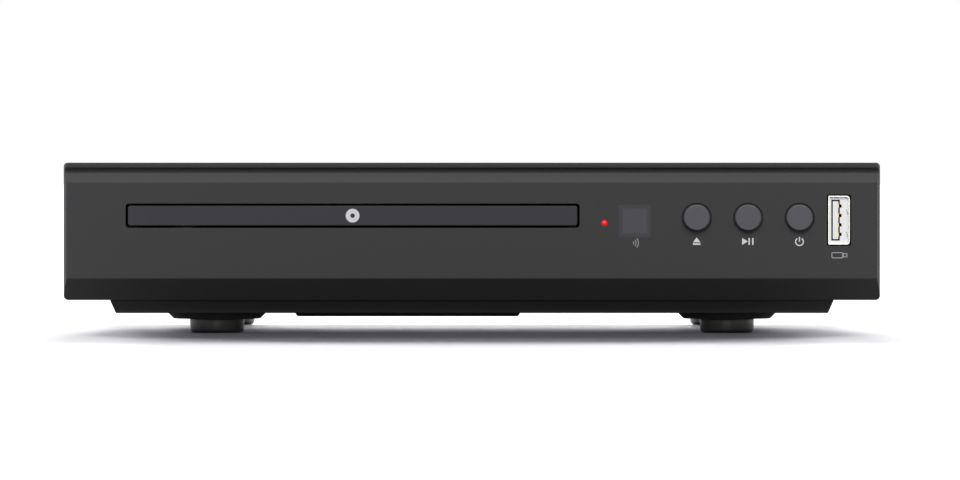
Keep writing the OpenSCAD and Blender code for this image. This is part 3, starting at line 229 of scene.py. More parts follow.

# ---- Rear panel ----
# A flat steel sheet, punched for the sockets and for a row of upright vents. It has the same coat
# as the cover.

# Powder coat on steel: a satin black with a faint orange peel.
powder_coat = finish("powder_coated_steel", "#2c2c2d", "#323233", (0.5, 0.6), 0.7, 0.012,
                     Specular_IOR_Level=0.15)
dress("rear_panel", powder_coat, 0.1)


# ---- Round sockets ----
# Four sockets on one black moulded block. Each is a turned brass sleeve, plated with gold, round a
# coloured insulating ring that holds a plated centre contact.
def corners(name):
    """The lowest and the highest corner of a CAD node, in millimetres."""
    low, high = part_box(name)
    return [c / MM for c in low], [c / MM for c in high]


def turned(shape, profile, centre, axis="Y", steps=48):
    """Adds a turned ring to a shape. The profile is a closed line of radius and place along the
    axis, and the centre is the place of the axis in the other two directions."""
    rings = []
    for step in range(steps):
        turn = 2 * math.pi * step / steps
        ring = []
        for radius, along in profile:
            a, b = centre[0] + radius * math.cos(turn), centre[1] + radius * math.sin(turn)
            ring.append(shape.verts.new({"X": (along, a, b), "Y": (a, along, b), "Z": (a, b, along)}[axis]))
        rings.append(ring)
    for one, two in zip(rings, rings[1:] + rings[:1]):
        for i in range(len(profile)):
            shape.faces.new((one[i - 1], one[i], two[i], two[i - 1]))


def bar(shape, low, high):
    """Adds a straight bar to a shape, given by its lowest and highest corners."""
    size = [b - a for a, b in zip(low, high)]
    middle = [(a + b) / 2 for a, b in zip(low, high)]
    bmesh.ops.create_cube(shape, size=1, matrix=Matrix.Translation(middle) @ Matrix.Diagonal((*size, 1)))


def made_of(shape, name, material, body="case", edge=0.0, angle=35):
    """Turns a shape in millimetres into a piece that rides on a CAD body."""
    bmesh.ops.remove_doubles(shape, verts=shape.verts, dist=0.0005)
    bmesh.ops.recalc_face_normals(shape, faces=shape.faces)
    bmesh.ops.scale(shape, vec=(MM, MM, MM), verts=shape.verts)
    mesh = bpy.data.meshes.new(name)
    shape.to_mesh(mesh)
    shape.free()
    mesh.materials.append(material)
    mesh.shade_smooth()
    mesh.set_sharp_from_angle(angle=math.radians(angle))
    piece = bpy.data.objects.new(name, mesh)
    bpy.context.scene.collection.objects.link(piece)
    if edge:
        bevel = piece.modifiers.new("soft_edges", "BEVEL")
        bevel.width = edge * MM
        bevel.segments = 2
        bevel.limit_method = "ANGLE"
        bevel.angle_limit = math.radians(angle)
        shade = piece.modifiers.new("even_shading", "WEIGHTED_NORMAL")
        shade.keep_sharp = True
    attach(piece, body)
    return piece


# Gold plate over turned brass: warm and bright, with a faint unevenness.
gold_plate = finish("gold_plated_brass", "#d9b25a", "#cfa548", (0.22, 0.34), 0.3, 0.004, patch=4,
                    Metallic=1.0)
# Moulded nylon: the block's black is plain and slightly glossy.
black_moulding = finish("moulded_black_nylon", "#1a1a1b", "#202021", (0.4, 0.52), 0.6, 0.01,
                        Specular_IOR_Level=0.4)
dress("av_block", black_moulding, 0.3)

SLEEVE_OUTER, SLEEVE_ROOT, SLEEVE_BORE = 4.15, 3.55, 3.1
SLEEVE_LENGTH = 8.6
SLEEVE_RIM = 0.3
FUNNEL_WIDTH, FUNNEL_DEPTH = 0.45, 0.8
CONTACT_OUTER, CONTACT_BORE = 1.6, 1.3
CONTACT_INSET, CONTACT_NOSE = 2, 0.2
RING_BACK, RING_FRONT, RING_CHAMFER, RING_FUNNEL = 0.2, 0.8, 0.2, 0.3
low, high = corners("av_sleeves")
socket_x = (low[0] + SLEEVE_OUTER, high[0] - SLEEVE_OUTER)
socket_z = (low[2] + SLEEVE_OUTER, high[2] - SLEEVE_OUTER)
inner, end = low[1], high[1]
sleeve_profile = [(SLEEVE_BORE, inner), (SLEEVE_ROOT, inner), (SLEEVE_ROOT, end - SLEEVE_LENGTH),
                  (SLEEVE_OUTER, end - SLEEVE_LENGTH), (SLEEVE_OUTER, end - SLEEVE_RIM),
                  (SLEEVE_OUTER - SLEEVE_RIM, end), (SLEEVE_BORE + FUNNEL_WIDTH, end),
                  (SLEEVE_BORE, end - FUNNEL_DEPTH)]
contact_back, contact_front = inner + CONTACT_INSET, end - CONTACT_INSET
contact_profile = [(CONTACT_BORE, contact_back), (CONTACT_OUTER, contact_back),
                   (CONTACT_OUTER, contact_front - CONTACT_NOSE),
                   ((CONTACT_OUTER + CONTACT_BORE) / 2, contact_front),
                   (CONTACT_BORE, contact_front - CONTACT_NOSE)]
ring_back, ring_front = inner + RING_BACK, end - RING_FRONT
ring_profile = [(CONTACT_OUTER, ring_back), (SLEEVE_BORE, ring_back),
                (SLEEVE_BORE, ring_front - RING_CHAMFER), (SLEEVE_BORE - RING_CHAMFER, ring_front),
                (CONTACT_OUTER + RING_FUNNEL, ring_front), (CONTACT_OUTER, ring_front - RING_FUNNEL)]
insulators = {
    "yellow": ("#d9b01e", "#cfa518", socket_x[0], socket_z[1]),
    "white": ("#dcdad2", "#d2d0c8", socket_x[1], socket_z[1]),
    "orange": ("#cf6a1c", "#c46016", socket_x[0], socket_z[0]),
    "red": ("#b0281e", "#a42018", socket_x[1], socket_z[0]),
}
sleeves = bmesh.new()
contacts = bmesh.new()
for name, (colour, second, x, z) in insulators.items():
    turned(sleeves, sleeve_profile, (x, z))
    turned(contacts, contact_profile, (x, z))
    ring = bmesh.new()
    turned(ring, ring_profile, (x, z))
    # Coloured polypropylene: a soft satin that marks which signal the socket carries.
    tint = finish("moulded_polypropylene_" + name, colour, second, (0.42, 0.5), 0.4, 0.006, patch=3)
    made_of(ring, "socket_ring_" + name, tint)
sleeve_piece = made_of(sleeves, "socket_sleeves", gold_plate, edge=0.06)
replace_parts(sleeve_piece, "av_sleeves")
made_of(contacts, "socket_centre_contacts", gold_plate)

# ---- Video socket ----
# A flat socket folded from nickel-plated steel, with a black tongue in its mouth that carries two
# rows of plated contacts.

# Nickel plate on folded steel: bright and slightly yellow, with faint clouds.
nickel_plate = finish("nickel_plated_steel", "#cccac4", "#bebcb6", (0.2, 0.34), 0.5, 0.004, patch=5,
                      Metallic=1.0)
dress("video_socket", nickel_plate, 0.08)
TONGUE_HALF_WIDTH, TONGUE_HALF_THICK = 5.7, 0.8
TONGUE_BACK, TONGUE_FRONT, TONGUE_DROP = 10.9, 1.4, 2.8
FINGER_PITCH, FINGER_HALF_WIDTH = 1.0, 0.22
FINGER_BACK, FINGER_FRONT = 8, 1.7
FINGER_SUNK, FINGER_PROUD = TONGUE_HALF_THICK - 0.02, TONGUE_HALF_THICK + 0.06
low, high = corners("video_socket")
middle = (low[0] + high[0]) / 2
mouth = high[1]
tongue_z = high[2] - TONGUE_DROP
tongue = bmesh.new()
bar(tongue, (middle - TONGUE_HALF_WIDTH, mouth - TONGUE_BACK, tongue_z - TONGUE_HALF_THICK),
    (middle + TONGUE_HALF_WIDTH, mouth - TONGUE_FRONT, tongue_z + TONGUE_HALF_THICK))
made_of(tongue, "video_tongue", black_moulding, edge=0.12)
# Ten contacts lie on top of the tongue and nine under it, half a pitch aside.
fingers = bmesh.new()
for row, count in ((1, 10), (-1, 9)):
    for i in range(count):
        x = middle + (i - (count - 1) / 2) * FINGER_PITCH
        z = sorted((tongue_z + row * FINGER_SUNK, tongue_z + row * FINGER_PROUD))
        bar(fingers, (x - FINGER_HALF_WIDTH, mouth - FINGER_BACK, z[0]),
            (x + FINGER_HALF_WIDTH, mouth - FINGER_FRONT, z[1]))
made_of(fingers, "video_contacts", gold_plate)

# ---- Mains inlet ----
# A black moulded block with a figure-of-eight recess and two nickel-plated pins with round ends.
dress("mains_inlet", black_moulding, 0.3)
dress("inlet_pins", nickel_plate, 0.5, steps=4)


# ---- Main board ----
# A glass epoxy board under green solder resist, with the player's chips, a crystal and rows of
# small ceramic parts soldered to its top.

# Copper tracks lie in squares of about TRACK_AREA millimetres, and BARE_SQUARES of them stay bare. A
# track runs where a wave is above TRACK_LEVEL, and WAVE_PERIOD is that texture's own period.
WAVE_PERIOD = 0.314
TRACK_AREA = 11
BARE_SQUARES, TRACK_LEVEL = 0.45, 0.62


def board_finish(name, colour, track, pitch):
    """A board's coat over copper tracks that run along Y, `pitch` millimetres apart."""
    made = finish(name, colour, colour, (0.22, 0.32), 1.2, 0.01, patch=20)
    tree = made.node_tree
    shader = tree.nodes["Principled BSDF"]
    place = node(tree, "TexCoord").outputs["Object"]
    bands = node(tree, "TexWave", {"bands_direction": "X", "Scale": WAVE_PERIOD / (pitch * MM),
                                   "Distortion": 0.0}, {"Vector": place})
    areas = node(tree, "TexVoronoi", {"distance": "CHEBYCHEV", "Scale": 1 / (TRACK_AREA * MM)},
                 {"Vector": place})
    chosen = node(tree, "SeparateXYZ", None, {0: areas.outputs["Color"]})
    some = node(tree, "Math", {"operation": "GREATER_THAN", 1: BARE_SQUARES}, {0: chosen.outputs[0]})
    line = node(tree, "Math", {"operation": "GREATER_THAN", 1: TRACK_LEVEL}, {0: bands.outputs["Fac"]})
    copper = node(tree, "Math", {"operation": "MULTIPLY"}, {0: some.outputs[0], 1: line.outputs[0]})
    tone = node(tree, "Mix", {"data_type": "RGBA", 6: linear(colour), 7: linear(track)},
                {0: copper.outputs[0]})
    tree.links.new(tone.outputs[2], shader.inputs["Base Color"])
    return made


# Solder resist on glass epoxy: a glossy green that is lighter over the copper tracks.
green_board = board_finish("green_solder_resist", "#1c4a2b", "#2c6a3c", 1.6)
dress("main_board", green_board, 0.1)
# Moulded epoxy: the chips' dull black with a fine stipple.
chip_epoxy = finish("moulded_epoxy", "#1e1e20", "#242426", (0.5, 0.6), 0.25, 0.008, patch=6)
dress("main_chips", chip_epoxy, 0.15)
# Tinned copper: the pale satin grey of solder.
tinned_copper = finish("tinned_copper", "#bcbdbf", "#a9aaad", (0.3, 0.45), 0.3, 0.006, patch=2, Metallic=1.0)
low, high = corners("main_board")
board_x, board_y, board_top = low[0], low[1], high[2]
LEG_PITCH, LEG_MARGIN = 0.9, 0.8
LEG_HALF_WIDTH = 0.16
LEG_THICK = 0.15
LEG_RISE = 0.7


def leg(shape, x, y, out_x, out_y):
    """One bent leg that leaves a chip's side at x, y, steps down and lies on the board. Each of
    its three bars is given by how far it starts and ends from the side, and by its heights."""
    for start, stop, z0, z1 in ((0, 0.5, LEG_RISE - LEG_THICK, LEG_RISE), (0.4, 1.1, 0, LEG_THICK),
                                (0.38, 0.52, 0, LEG_RISE)):
        if out_x:
            xs, ys = sorted((x + out_x * start, x + out_x * stop)), (y - LEG_HALF_WIDTH, y + LEG_HALF_WIDTH)
        else:
            xs, ys = (x - LEG_HALF_WIDTH, x + LEG_HALF_WIDTH), sorted((y + out_y * start, y + out_y * stop))
        bar(shape, (xs[0], ys[0], board_top + z0), (xs[1], ys[1], board_top + z1))


def leg_places(start, stop):
    """Where the legs stand along a chip's side."""
    place = start + LEG_PITCH
    while place < stop - LEG_MARGIN:
        yield place
        place += LEG_PITCH


# Each chip's sides, from the board's corner, and whether legs stand on all four of them.
legs = bmesh.new()
for x0, y0, x1, y1, all_round in ((14, 44, 34, 64, True), (10, 74, 21, 92, False),
                                  (26, 74, 32, 82, False), (14, 16, 26, 28, True)):
    x0, x1, y0, y1 = board_x + x0, board_x + x1, board_y + y0, board_y + y1
    for y in leg_places(y0, y1):
        leg(legs, x0, y, -1, 0)
        leg(legs, x1, y, 1, 0)
    for x in leg_places(x0, x1) if all_round else ():
        leg(legs, x, y0, 0, -1)
        leg(legs, x, y1, 0, 1)
made_of(legs, "chip_legs", tinned_copper)

# Fired ceramic: the small capacitors are a dull tan between tinned ends.
ceramic = finish("fired_ceramic", "#a07a4c", "#8d6a40", (0.5, 0.6), 0.2, 0.004, patch=2)
CHIP_PITCH = 2.6
CHIP_HALF_WIDTH, CHIP_HALF_LENGTH, CHIP_RISE = 0.45, 0.65, 0.65
CAP_OVER, CAP_LENGTH = 0.02, 0.25
bodies, caps = bmesh.new(), bmesh.new()
# Each row's first part, from the board's corner, how many it has, and whether it runs along X.
for x, y, count, along_x in ((10, 34, 8, True), (12, 69, 7, True), (38, 20, 6, False),
                             (6, 46, 8, False), (12, 100, 6, True), (30, 88, 5, True)):
    for i in range(count):
        cx = board_x + x + (CHIP_PITCH * i if along_x else 0)
        cy = board_y + y + (0 if along_x else CHIP_PITCH * i)
        bar(bodies, (cx - CHIP_HALF_WIDTH, cy - CHIP_HALF_LENGTH, board_top + CAP_OVER),
            (cx + CHIP_HALF_WIDTH, cy + CHIP_HALF_LENGTH, board_top + CHIP_RISE))
        for cap_y in (-CHIP_HALF_LENGTH - 0.2, CHIP_HALF_LENGTH - 0.05):
            bar(caps, (cx - CHIP_HALF_WIDTH - CAP_OVER, cy + cap_y, board_top),
                (cx + CHIP_HALF_WIDTH + CAP_OVER, cy + cap_y + CAP_LENGTH, board_top + CHIP_RISE + CAP_OVER))
made_of(bodies, "ceramic_capacitors", ceramic, edge=0.05)
made_of(caps, "ceramic_capacitor_ends", tinned_copper)

# Drawn steel: the crystal's can is a soft satin grey.
drawn_steel = finish("drawn_steel", "#a6a8aa", "#999b9e", (0.28, 0.38), 0.4, 0.004, patch=4, Metallic=1.0)
CAN_SIZE = (4.6, 11, 3.4)
can_x, can_y = board_x + 8, board_y + 10
crystal = bmesh.new()
bar(crystal, (can_x, can_y, board_top),
    (can_x + CAN_SIZE[0], can_y + CAN_SIZE[1], board_top + CAN_SIZE[2]))
made_of(crystal, "crystal_can", drawn_steel, edge=1.2)

# ---- Power board ----
# A tan phenolic board with the mains parts: the transformer, a filter capacitor, a fuse in glass
# and an aluminium heat sink.

# Phenolic paper: a varnished tan that is darker over its broad copper tracks.
tan_board = board_finish("phenolic_paper", "#9a7642", "#8a6838", 4.0)
dress("power_board", tan_board, 0.1)
# Polyester tape over the winding: pale yellow and glossy, with fine wrinkles.
winding_tape = finish("polyester_tape", "#c8a648", "#bd9a3c", (0.2, 0.3), 1.5, 0.02, patch=8)
dress("transformer", winding_tape, 0.6)
low, high = corners("transformer")
core_y = (low[1] + high[1]) / 2
core_x = (low[0] + high[0]) / 2
# Sintered ferrite: the dark grey of the core's two halves.
ferrite = finish("sintered_ferrite", "#38393b", "#2f3032", (0.5, 0.62), 0.2, 0.01, patch=3)
CORE_THICK, CORE_HALF_WIDTH = 2, 6
CORE_OUT = 1.6
CORE_Z = (low[2] + 4, low[2] + 13)
core = bmesh.new()
for x in (low[0] - CORE_OUT, high[0] + CORE_OUT - CORE_THICK):
    bar(core, (x, core_y - CORE_HALF_WIDTH, CORE_Z[0]), (x + CORE_THICK, core_y + CORE_HALF_WIDTH, CORE_Z[1]))
made_of(core, "transformer_core", ferrite, edge=0.3)

# Heat-shrunk sleeve: dark blue and glossy, drawn tight over the capacitors' cans.
shrunk_sleeve = finish("heat_shrunk_sleeve", "#1d2a52", "#182347", (0.2, 0.3), 0.8, 0.01, patch=6)
dress("capacitors", shrunk_sleeve, 0.5)
# Rolled aluminium: the bare top of each can, scored with a cross, and the heat sink.
bare_aluminium = finish("rolled_aluminium", "#c3c5c7", "#b2b4b6", (0.3, 0.42), 0.5, 0.006, patch=5,
                        Metallic=1.0)
# Pressed scores: dark lines of painted shade, which stand in for the shade in grooves too fine to show.
score_groove_painted_shade = finish("score_groove_painted_shade", "#38393b", "#2f3032", (0.5, 0.62), 0.2, 0.01, patch=3)
# The mains parts stand in line with the transformer.
power_x = core_x
power_y = corners("power_board")[0][1]
# A turned piece that is closed in its middle starts at the radius CENTRE.
CENTRE = 0.05
TOP_EDGE = 0.9
SCORE_REACH, SCORE_HALF_WIDTH = 0.6, 0.15
tops, scores = bmesh.new(), bmesh.new()
# Each can's middle, its radius and its height over the board.
for x, y, radius, rise in ((power_x, power_y + 84, 6.5, 22), (power_x - 5, power_y + 40, 4, 14),
                           (power_x + 5, power_y + 40, 4, 14), (board_x + 40, board_y + 60, 2.5, 7),
                           (board_x + 40, board_y + 68, 2.5, 7)):
    top = board_top + rise
    turned(tops, [(CENTRE, top - 0.1), (radius - TOP_EDGE, top - 0.1), (radius - TOP_EDGE, top + 0.05),
                  (CENTRE, top + 0.05)], (x, y), "Z")
    reach = radius * SCORE_REACH
    bar(scores, (x - reach, y - SCORE_HALF_WIDTH, top), (x + reach, y + SCORE_HALF_WIDTH, top + 0.07))
    bar(scores, (x - SCORE_HALF_WIDTH, y - reach, top), (x + SCORE_HALF_WIDTH, y + reach, top + 0.07))
made_of(tops, "capacitor_tops", bare_aluminium)
made_of(scores, "capacitor_scores", score_groove_painted_shade)

SINK_HALF_WIDTH, SINK_THICK, SINK_RISE = 9, 2, 20
FINS, FIN_PITCH, FIN_THICK, FIN_REACH = 6, 3.2, 1.2, 6
sink_y = power_y + 12
sink = bmesh.new()
bar(sink, (power_x - SINK_HALF_WIDTH, sink_y, board_top),
    (power_x + SINK_HALF_WIDTH, sink_y + SINK_THICK, board_top + SINK_RISE))
for i in range(FINS):
    x = power_x - SINK_HALF_WIDTH + 0.4 + i * FIN_PITCH
    bar(sink, (x, sink_y + SINK_THICK - 0.2, board_top + 2),
        (x + FIN_THICK, sink_y + SINK_THICK + FIN_REACH, board_top + SINK_RISE))
made_of(sink, "heat_sink", bare_aluminium, edge=0.2)
# The power transistor is clamped flat to the heat sink.
TRANSISTOR_HALF_WIDTH, TRANSISTOR_THICK = 5, 4.5
transistor = bmesh.new()
bar(transistor, (power_x - TRANSISTOR_HALF_WIDTH, sink_y - TRANSISTOR_THICK, board_top + 4),
    (power_x + TRANSISTOR_HALF_WIDTH, sink_y, board_top + 19))
made_of(transistor, "power_transistor", chip_epoxy, edge=0.3)

# Moulded polyester box: the filter capacitor's dull yellow.
box_polyester = finish("moulded_polyester", "#b9952f", "#ad8928", (0.4, 0.5), 0.6, 0.01, patch=5)
filter_y = power_y + 94
filter_box = bmesh.new()
bar(filter_box, (power_x - 6, filter_y, board_top), (power_x + 8, filter_y + 7, board_top + 11))
made_of(filter_box, "filter_capacitor", box_polyester, edge=0.5)

# Drawn glass: the fuse's clear tube between two nickel-plated caps.
clear_glass = finish("drawn_glass", "#f4f6f5", "#eef1f0", (0.02, 0.05), 4, 0.001,
                     Transmission_Weight=1.0, IOR=1.5)
TUBE_BORE, TUBE_OUTER, TUBE_HALF = 2.1, 2.5, 4
FUSE_CAP_RADIUS, FUSE_CAP_LENGTH = 2.7, 3
CLIP_HALF_WIDTH = 2.9
fuse_y, fuse_z = power_y + 108, board_top + 3.4
fuse, fuse_caps = bmesh.new(), bmesh.new()
turned(fuse, [(TUBE_BORE, power_x - TUBE_HALF), (TUBE_OUTER, power_x - TUBE_HALF),
              (TUBE_OUTER, power_x + TUBE_HALF), (TUBE_BORE, power_x + TUBE_HALF)],
       (fuse_y, fuse_z), "X")
for x in (power_x - 6, power_x + 3):
    turned(fuse_caps, [(CENTRE, x), (FUSE_CAP_RADIUS, x), (FUSE_CAP_RADIUS, x + FUSE_CAP_LENGTH),
                       (CENTRE, x + FUSE_CAP_LENGTH)], (fuse_y, fuse_z), "X")
    bar(fuse_caps, (x + 1, fuse_y - CLIP_HALF_WIDTH, board_top),
        (x + 2, fuse_y + CLIP_HALF_WIDTH, fuse_z - 1))
made_of(fuse, "fuse_tube", clear_glass)
made_of(fuse_caps, "fuse_caps", nickel_plate, edge=0.2)

# ---- Ribbons between the boards ----
# A flat cable of white PVC joins the front board to the main one, and four red wires carry the
# power across. Both end in push-on connectors.

# Extruded PVC: an off-white satin, slightly uneven at the conductors' spacing of 1.27 mm.
white_pvc = finish("extruded_white_pvc", "#dcdacf", "#d3d1c6", (0.45, 0.55), 1.27, 0.03, patch=6)
dress("front_ribbon", white_pvc, 0.1)
# Extruded PVC: a clear red with a soft shine.
red_pvc = finish("extruded_red_pvc", "#a8281f", "#9c2119", (0.35, 0.45), 0.8, 0.01, patch=4)
dress("power_ribbon", red_pvc, 0.3)

# ---- Loader frame ----
# One black moulding holds the tray's ledges, the drive wheels' posts and the traverse's bearings.
# Four screws fix it to bosses on the pan.

# Moulded ABS: a satin black that shows faint flow marks.
frame_abs = finish("moulded_black_abs", "#232325", "#28282a", (0.42, 0.52), 0.5, 0.008, patch=22,
                   Specular_IOR_Level=0.4)
dress("loader_frame", frame_abs, 0.25)
# Zinc plate: a cool grey with a slight blue cast and a dull shine.
zinc_plate = finish("zinc_plated_steel", "#9fa2a6", "#8d9094", (0.32, 0.46), 0.3, 0.006, patch=2,
                    Metallic=1.0)
dress("loader_screws", zinc_plate, 0.1)

# ---- Tray motor, belt and wheels ----
# A small motor hangs under the frame's deck. A square belt turns the large pulley, whose pinion
# drives the wheel that meshes with the rack under the tray.
dress("tray_motor", drawn_steel, 0.4)
# Ground steel: the shafts and the rods are fine, bright and even.
ground_steel = finish("ground_steel", "#c6c7c9", "#bcbdbf", (0.14, 0.22), 0.15, 0.001, patch=3, Metallic=1.0)
dress("motor_shaft", ground_steel, 0.1)
# Moulded acetal: milky white with a waxy shine.
acetal = finish("moulded_acetal", "#dedbd0", "#d6d3c8", (0.3, 0.4), 0.6, 0.004, patch=6,
                Subsurface_Weight=0.1, Subsurface_Scale=0.001)
for name in ("drive_gear", "pulley_gear", "motor_pulley"):
    dress(name, acetal, 0.08)
# Ground rubber: the belt is a dull black.
belt_rubber = finish("ground_black_rubber", "#1b1b1a", "#222221", (0.7, 0.8), 0.2, 0.01, patch=3)
dress("drive_belt", belt_rubber, 0.1)
# A raised collar under the motor holds its rear bearing.
COLLAR_IN, COLLAR_OUT = 3.2, 3.9
low, high = corners("tray_motor")
motor_x, motor_y = (low[0] + high[0]) / 2, (low[1] + high[1]) / 2
collar_top, collar_end = low[2] + 1, low[2] - 0.3
collar = bmesh.new()
turned(collar, [(COLLAR_IN, collar_top), (COLLAR_OUT, collar_top), (COLLAR_OUT, collar_end),
                (COLLAR_IN, collar_end)], (motor_x, motor_y), "Z")
made_of(collar, "motor_end_collar", drawn_steel)

# ---- Cam slider and lift frame ----
# The white slider moves sideways, and its two sloping slots raise and lower the pins on the front
# of the lift frame, which is hinged at its rear.
dress("cam_slider", acetal, 0.15)
# Moulded dark grey ABS with glass fibre: a dry satin with a fine grain.
grey_abs = finish("moulded_dark_grey_abs", "#303033", "#353538", (0.5, 0.6), 0.3, 0.01, patch=10,
                  Specular_IOR_Level=0.4)
dress("lift_frame", grey_abs, 0.2)


# ---- Traverse, turntable and pickup ----
# A galvanised plate stands on four rubber dampers on the lift frame. It carries the spindle motor
# with the turntable, and two ground rods along which a screw drives the pickup.
def spangled(name, colour, second, patch):
    """A metal sheet in flat crystals of two close colours, `patch` millimetres across."""
    made = finish(name, colour, second, (0.3, 0.42), 0.4, 0.003, patch=5, Metallic=1.0)
    tree = made.node_tree
    shader = tree.nodes["Principled BSDF"]
    place = node(tree, "TexCoord").outputs["Object"]
    flakes = node(tree, "TexVoronoi", {"Scale": 1 / (patch * MM)}, {"Vector": place})
    shade = node(tree, "SeparateXYZ", None, {0: flakes.outputs["Color"]})
    tone = node(tree, "Mix", {"data_type": "RGBA", 6: linear(colour), 7: linear(second)},
                {0: shade.outputs[0]})
    tree.links.new(tone.outputs[2], shader.inputs["Base Color"])
    return made


# Galvanised sheet: pale grey zinc crystals about 3 mm across.
zinc_sheet = spangled("galvanised_steel_sheet", "#a9acaf", "#96999c", 3)
dress("traverse_plate", zinc_sheet, 0.12)
# Moulded butyl rubber: the dampers' soft brown.
damper_rubber = finish("moulded_butyl_rubber", "#3c322b", "#443931", (0.65, 0.75), 0.4, 0.02, patch=3)
dress("dampers", damper_rubber, 0.2)
dress("damper_screws", zinc_plate, 0.1)
dress("spindle_motor", drawn_steel, 0.3)
dress("turntable", grey_abs, 0.15)
low, high = corners("turntable")
table_x, table_y = (low[0] + high[0]) / 2, (low[1] + high[1]) / 2
# A ring of rubber on the turntable grips the disc. Its upper edges slope off over SEAT_LIP.
SEAT_IN, SEAT_OUT, SEAT_LIP = 10.7, 14.2, 0.2
seat_top = high[2] - 2.2
seat = bmesh.new()
turned(seat, [(SEAT_IN, seat_top - 0.05), (SEAT_OUT, seat_top - 0.05), (SEAT_OUT, seat_top + 0.03),
              (SEAT_OUT - SEAT_LIP, seat_top + 0.06), (SEAT_IN + SEAT_LIP, seat_top + 0.06),
              (SEAT_IN, seat_top + 0.03)], (table_x, table_y), "Z", 72)
made_of(seat, "turntable_rubber_seat", foot_rubber, body="turntable")
dress("guide_rods", ground_steel, 0.15)
dress("feed_screw", ground_steel, 0.1)
dress("feed_motor", drawn_steel, 0.3)
dress("pickup_sled", grey_abs, 0.2)
# Moulded acrylic with a coating: a clear lens that throws back blue.
lens_acrylic = finish("coated_acrylic_lens", "#4c5f8a", "#43557d", (0.04, 0.08), 3, 0.0005, patch=2,
                      Coat_Weight=1.0, Coat_Roughness=0.03)
dress("pickup_lens", lens_acrylic, 0.1)

# ---- Clamp over the disc ----
# A galvanised bridge across the frame holds a white clamping disc in its hole. A ring magnet in
# the disc pulls it down to the turntable.
dress("clamp_bridge", zinc_sheet, 0.15)
dress("disc_clamp", acetal, 0.15)
dress("clamp_magnet", ferrite, 0.2)

# ---- Disc tray ----
# A black moulding with a well for a large disc, a deeper one for a small disc and two finger
# notches. The rack runs along its underside at the left.

# Moulded ABS with a spark texture: charcoal, matt and even, since it is touched and seen.
tray_abs = finish("moulded_charcoal_tray_abs", "#333335", "#363638", (0.45, 0.55), 0.4, 0.008, patch=25,
                  Specular_IOR_Level=0.3)
dress("disc_tray", tray_abs, 0.3)

# ---- Front board ----
# A narrow board stands behind the fascia with three push switches, the indicator and the remote
# control's receiver.
dress("front_board", green_board, 0.1)
dress("switch_bodies", tinned_copper, 0.25)
for name in ("eject_plunger", "play_plunger", "power_plunger"):
    dress(name, black_moulding, 0.15)
# Dark red epoxy: the receiver's body, clear only to infrared.
receiver_epoxy = finish("infrared_epoxy", "#241a1e", "#2c2024", (0.1, 0.2), 1, 0.002, patch=3)
dress("remote_sensor", receiver_epoxy, 0.25)
# Tinted epoxy, lit from within: a clear red dot.
lit_epoxy = finish("lit_red_epoxy", "#d02622", "#c8201c", (0.2, 0.3), 1, 0.001, patch=2,
                   Emission_Color=linear("#ff2024"), Emission_Strength=0.5)
dress("status_lamp", lit_epoxy, 0.1)


# ---- Data socket ----
# An upright socket folded from nickel-plated steel. A white base fills it, with a groove round the
# white tongue, and two spring leaves are cut in the wall on the right.
def soft_outline(cx, cz, width, height, radii, steps=6):
    """A rounded rectangle in X and Z. The radii go round from the upper right, anticlockwise."""
    points = []
    for quarter, radius in enumerate(radii):
        side_x, side_z = ((1, 1), (-1, 1), (-1, -1), (1, -1))[quarter]
        x, z = cx + side_x * (width / 2 - radius), cz + side_z * (height / 2 - radius)
        for step in range(steps + 1):
            turn = math.radians(90 * (quarter + step / steps))
            points.append((x + radius * math.cos(turn), z + radius * math.sin(turn)))
    return points


def plate(shape, outlines, y0, y1):
    """Adds a flat piece between y0 and y1. The first outline in X and Z is its edge, and the
    others are holes in it."""
    edges = []
    for outline in outlines:
        ring = [shape.verts.new((x, y0, z)) for x, z in outline]
        edges += [shape.edges.new((ring[i - 1], ring[i])) for i in range(len(ring))]
    filled = bmesh.ops.triangle_fill(shape, use_beauty=True, edges=edges)
    faces = [f for f in filled["geom"] if isinstance(f, bmesh.types.BMFace)]
    grown = bmesh.ops.extrude_face_region(shape, geom=faces, use_keep_orig=True)
    moved = [v for v in grown["geom"] if isinstance(v, bmesh.types.BMVert)]
    bmesh.ops.translate(shape, vec=(0, y1 - y0, 0), verts=moved)


# Glass-filled nylon: a bright white with a slight shine.
white_nylon = finish("moulded_white_nylon", "#fafafa", "#f6f6f6", (0.35, 0.45), 0.5, 0.004, patch=3)
low, high = corners("data_shell")
socket_front, socket_back = low[1], high[1]
cx, cz = (low[0] + high[0]) / 2, (low[2] + high[2]) / 2
shell_w, shell_h = high[0] - low[0], high[2] - low[2]
WALL = 0.4
SHELL_RADII = (0.9, 0.45, 0.45, 0.9)
INNER_RADII = [radius - 0.3 for radius in SHELL_RADII]
shell = bmesh.new()
plate(shell, [soft_outline(cx, cz, shell_w, shell_h, SHELL_RADII),
              soft_outline(cx, cz, shell_w - 2 * WALL, shell_h - 2 * WALL, INNER_RADII)],
      socket_front, socket_back)
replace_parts(made_of(shell, "socket_shell", nickel_plate, edge=0.08), "data_shell")

TONGUE_INSET = 0.4
low, high = corners("data_tongue")
tx0, tx1, tz0, tz1 = low[0], high[0], low[2], high[2]
tongue = bmesh.new()
plate(tongue, [soft_outline((tx0 + tx1) / 2, (tz0 + tz1) / 2, tx1 - tx0, tz1 - tz0, (0.15,) * 4)],
      socket_front + TONGUE_INSET, socket_back - TONGUE_INSET)
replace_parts(made_of(tongue, "socket_tongue", white_nylon, edge=0.06), "data_tongue")
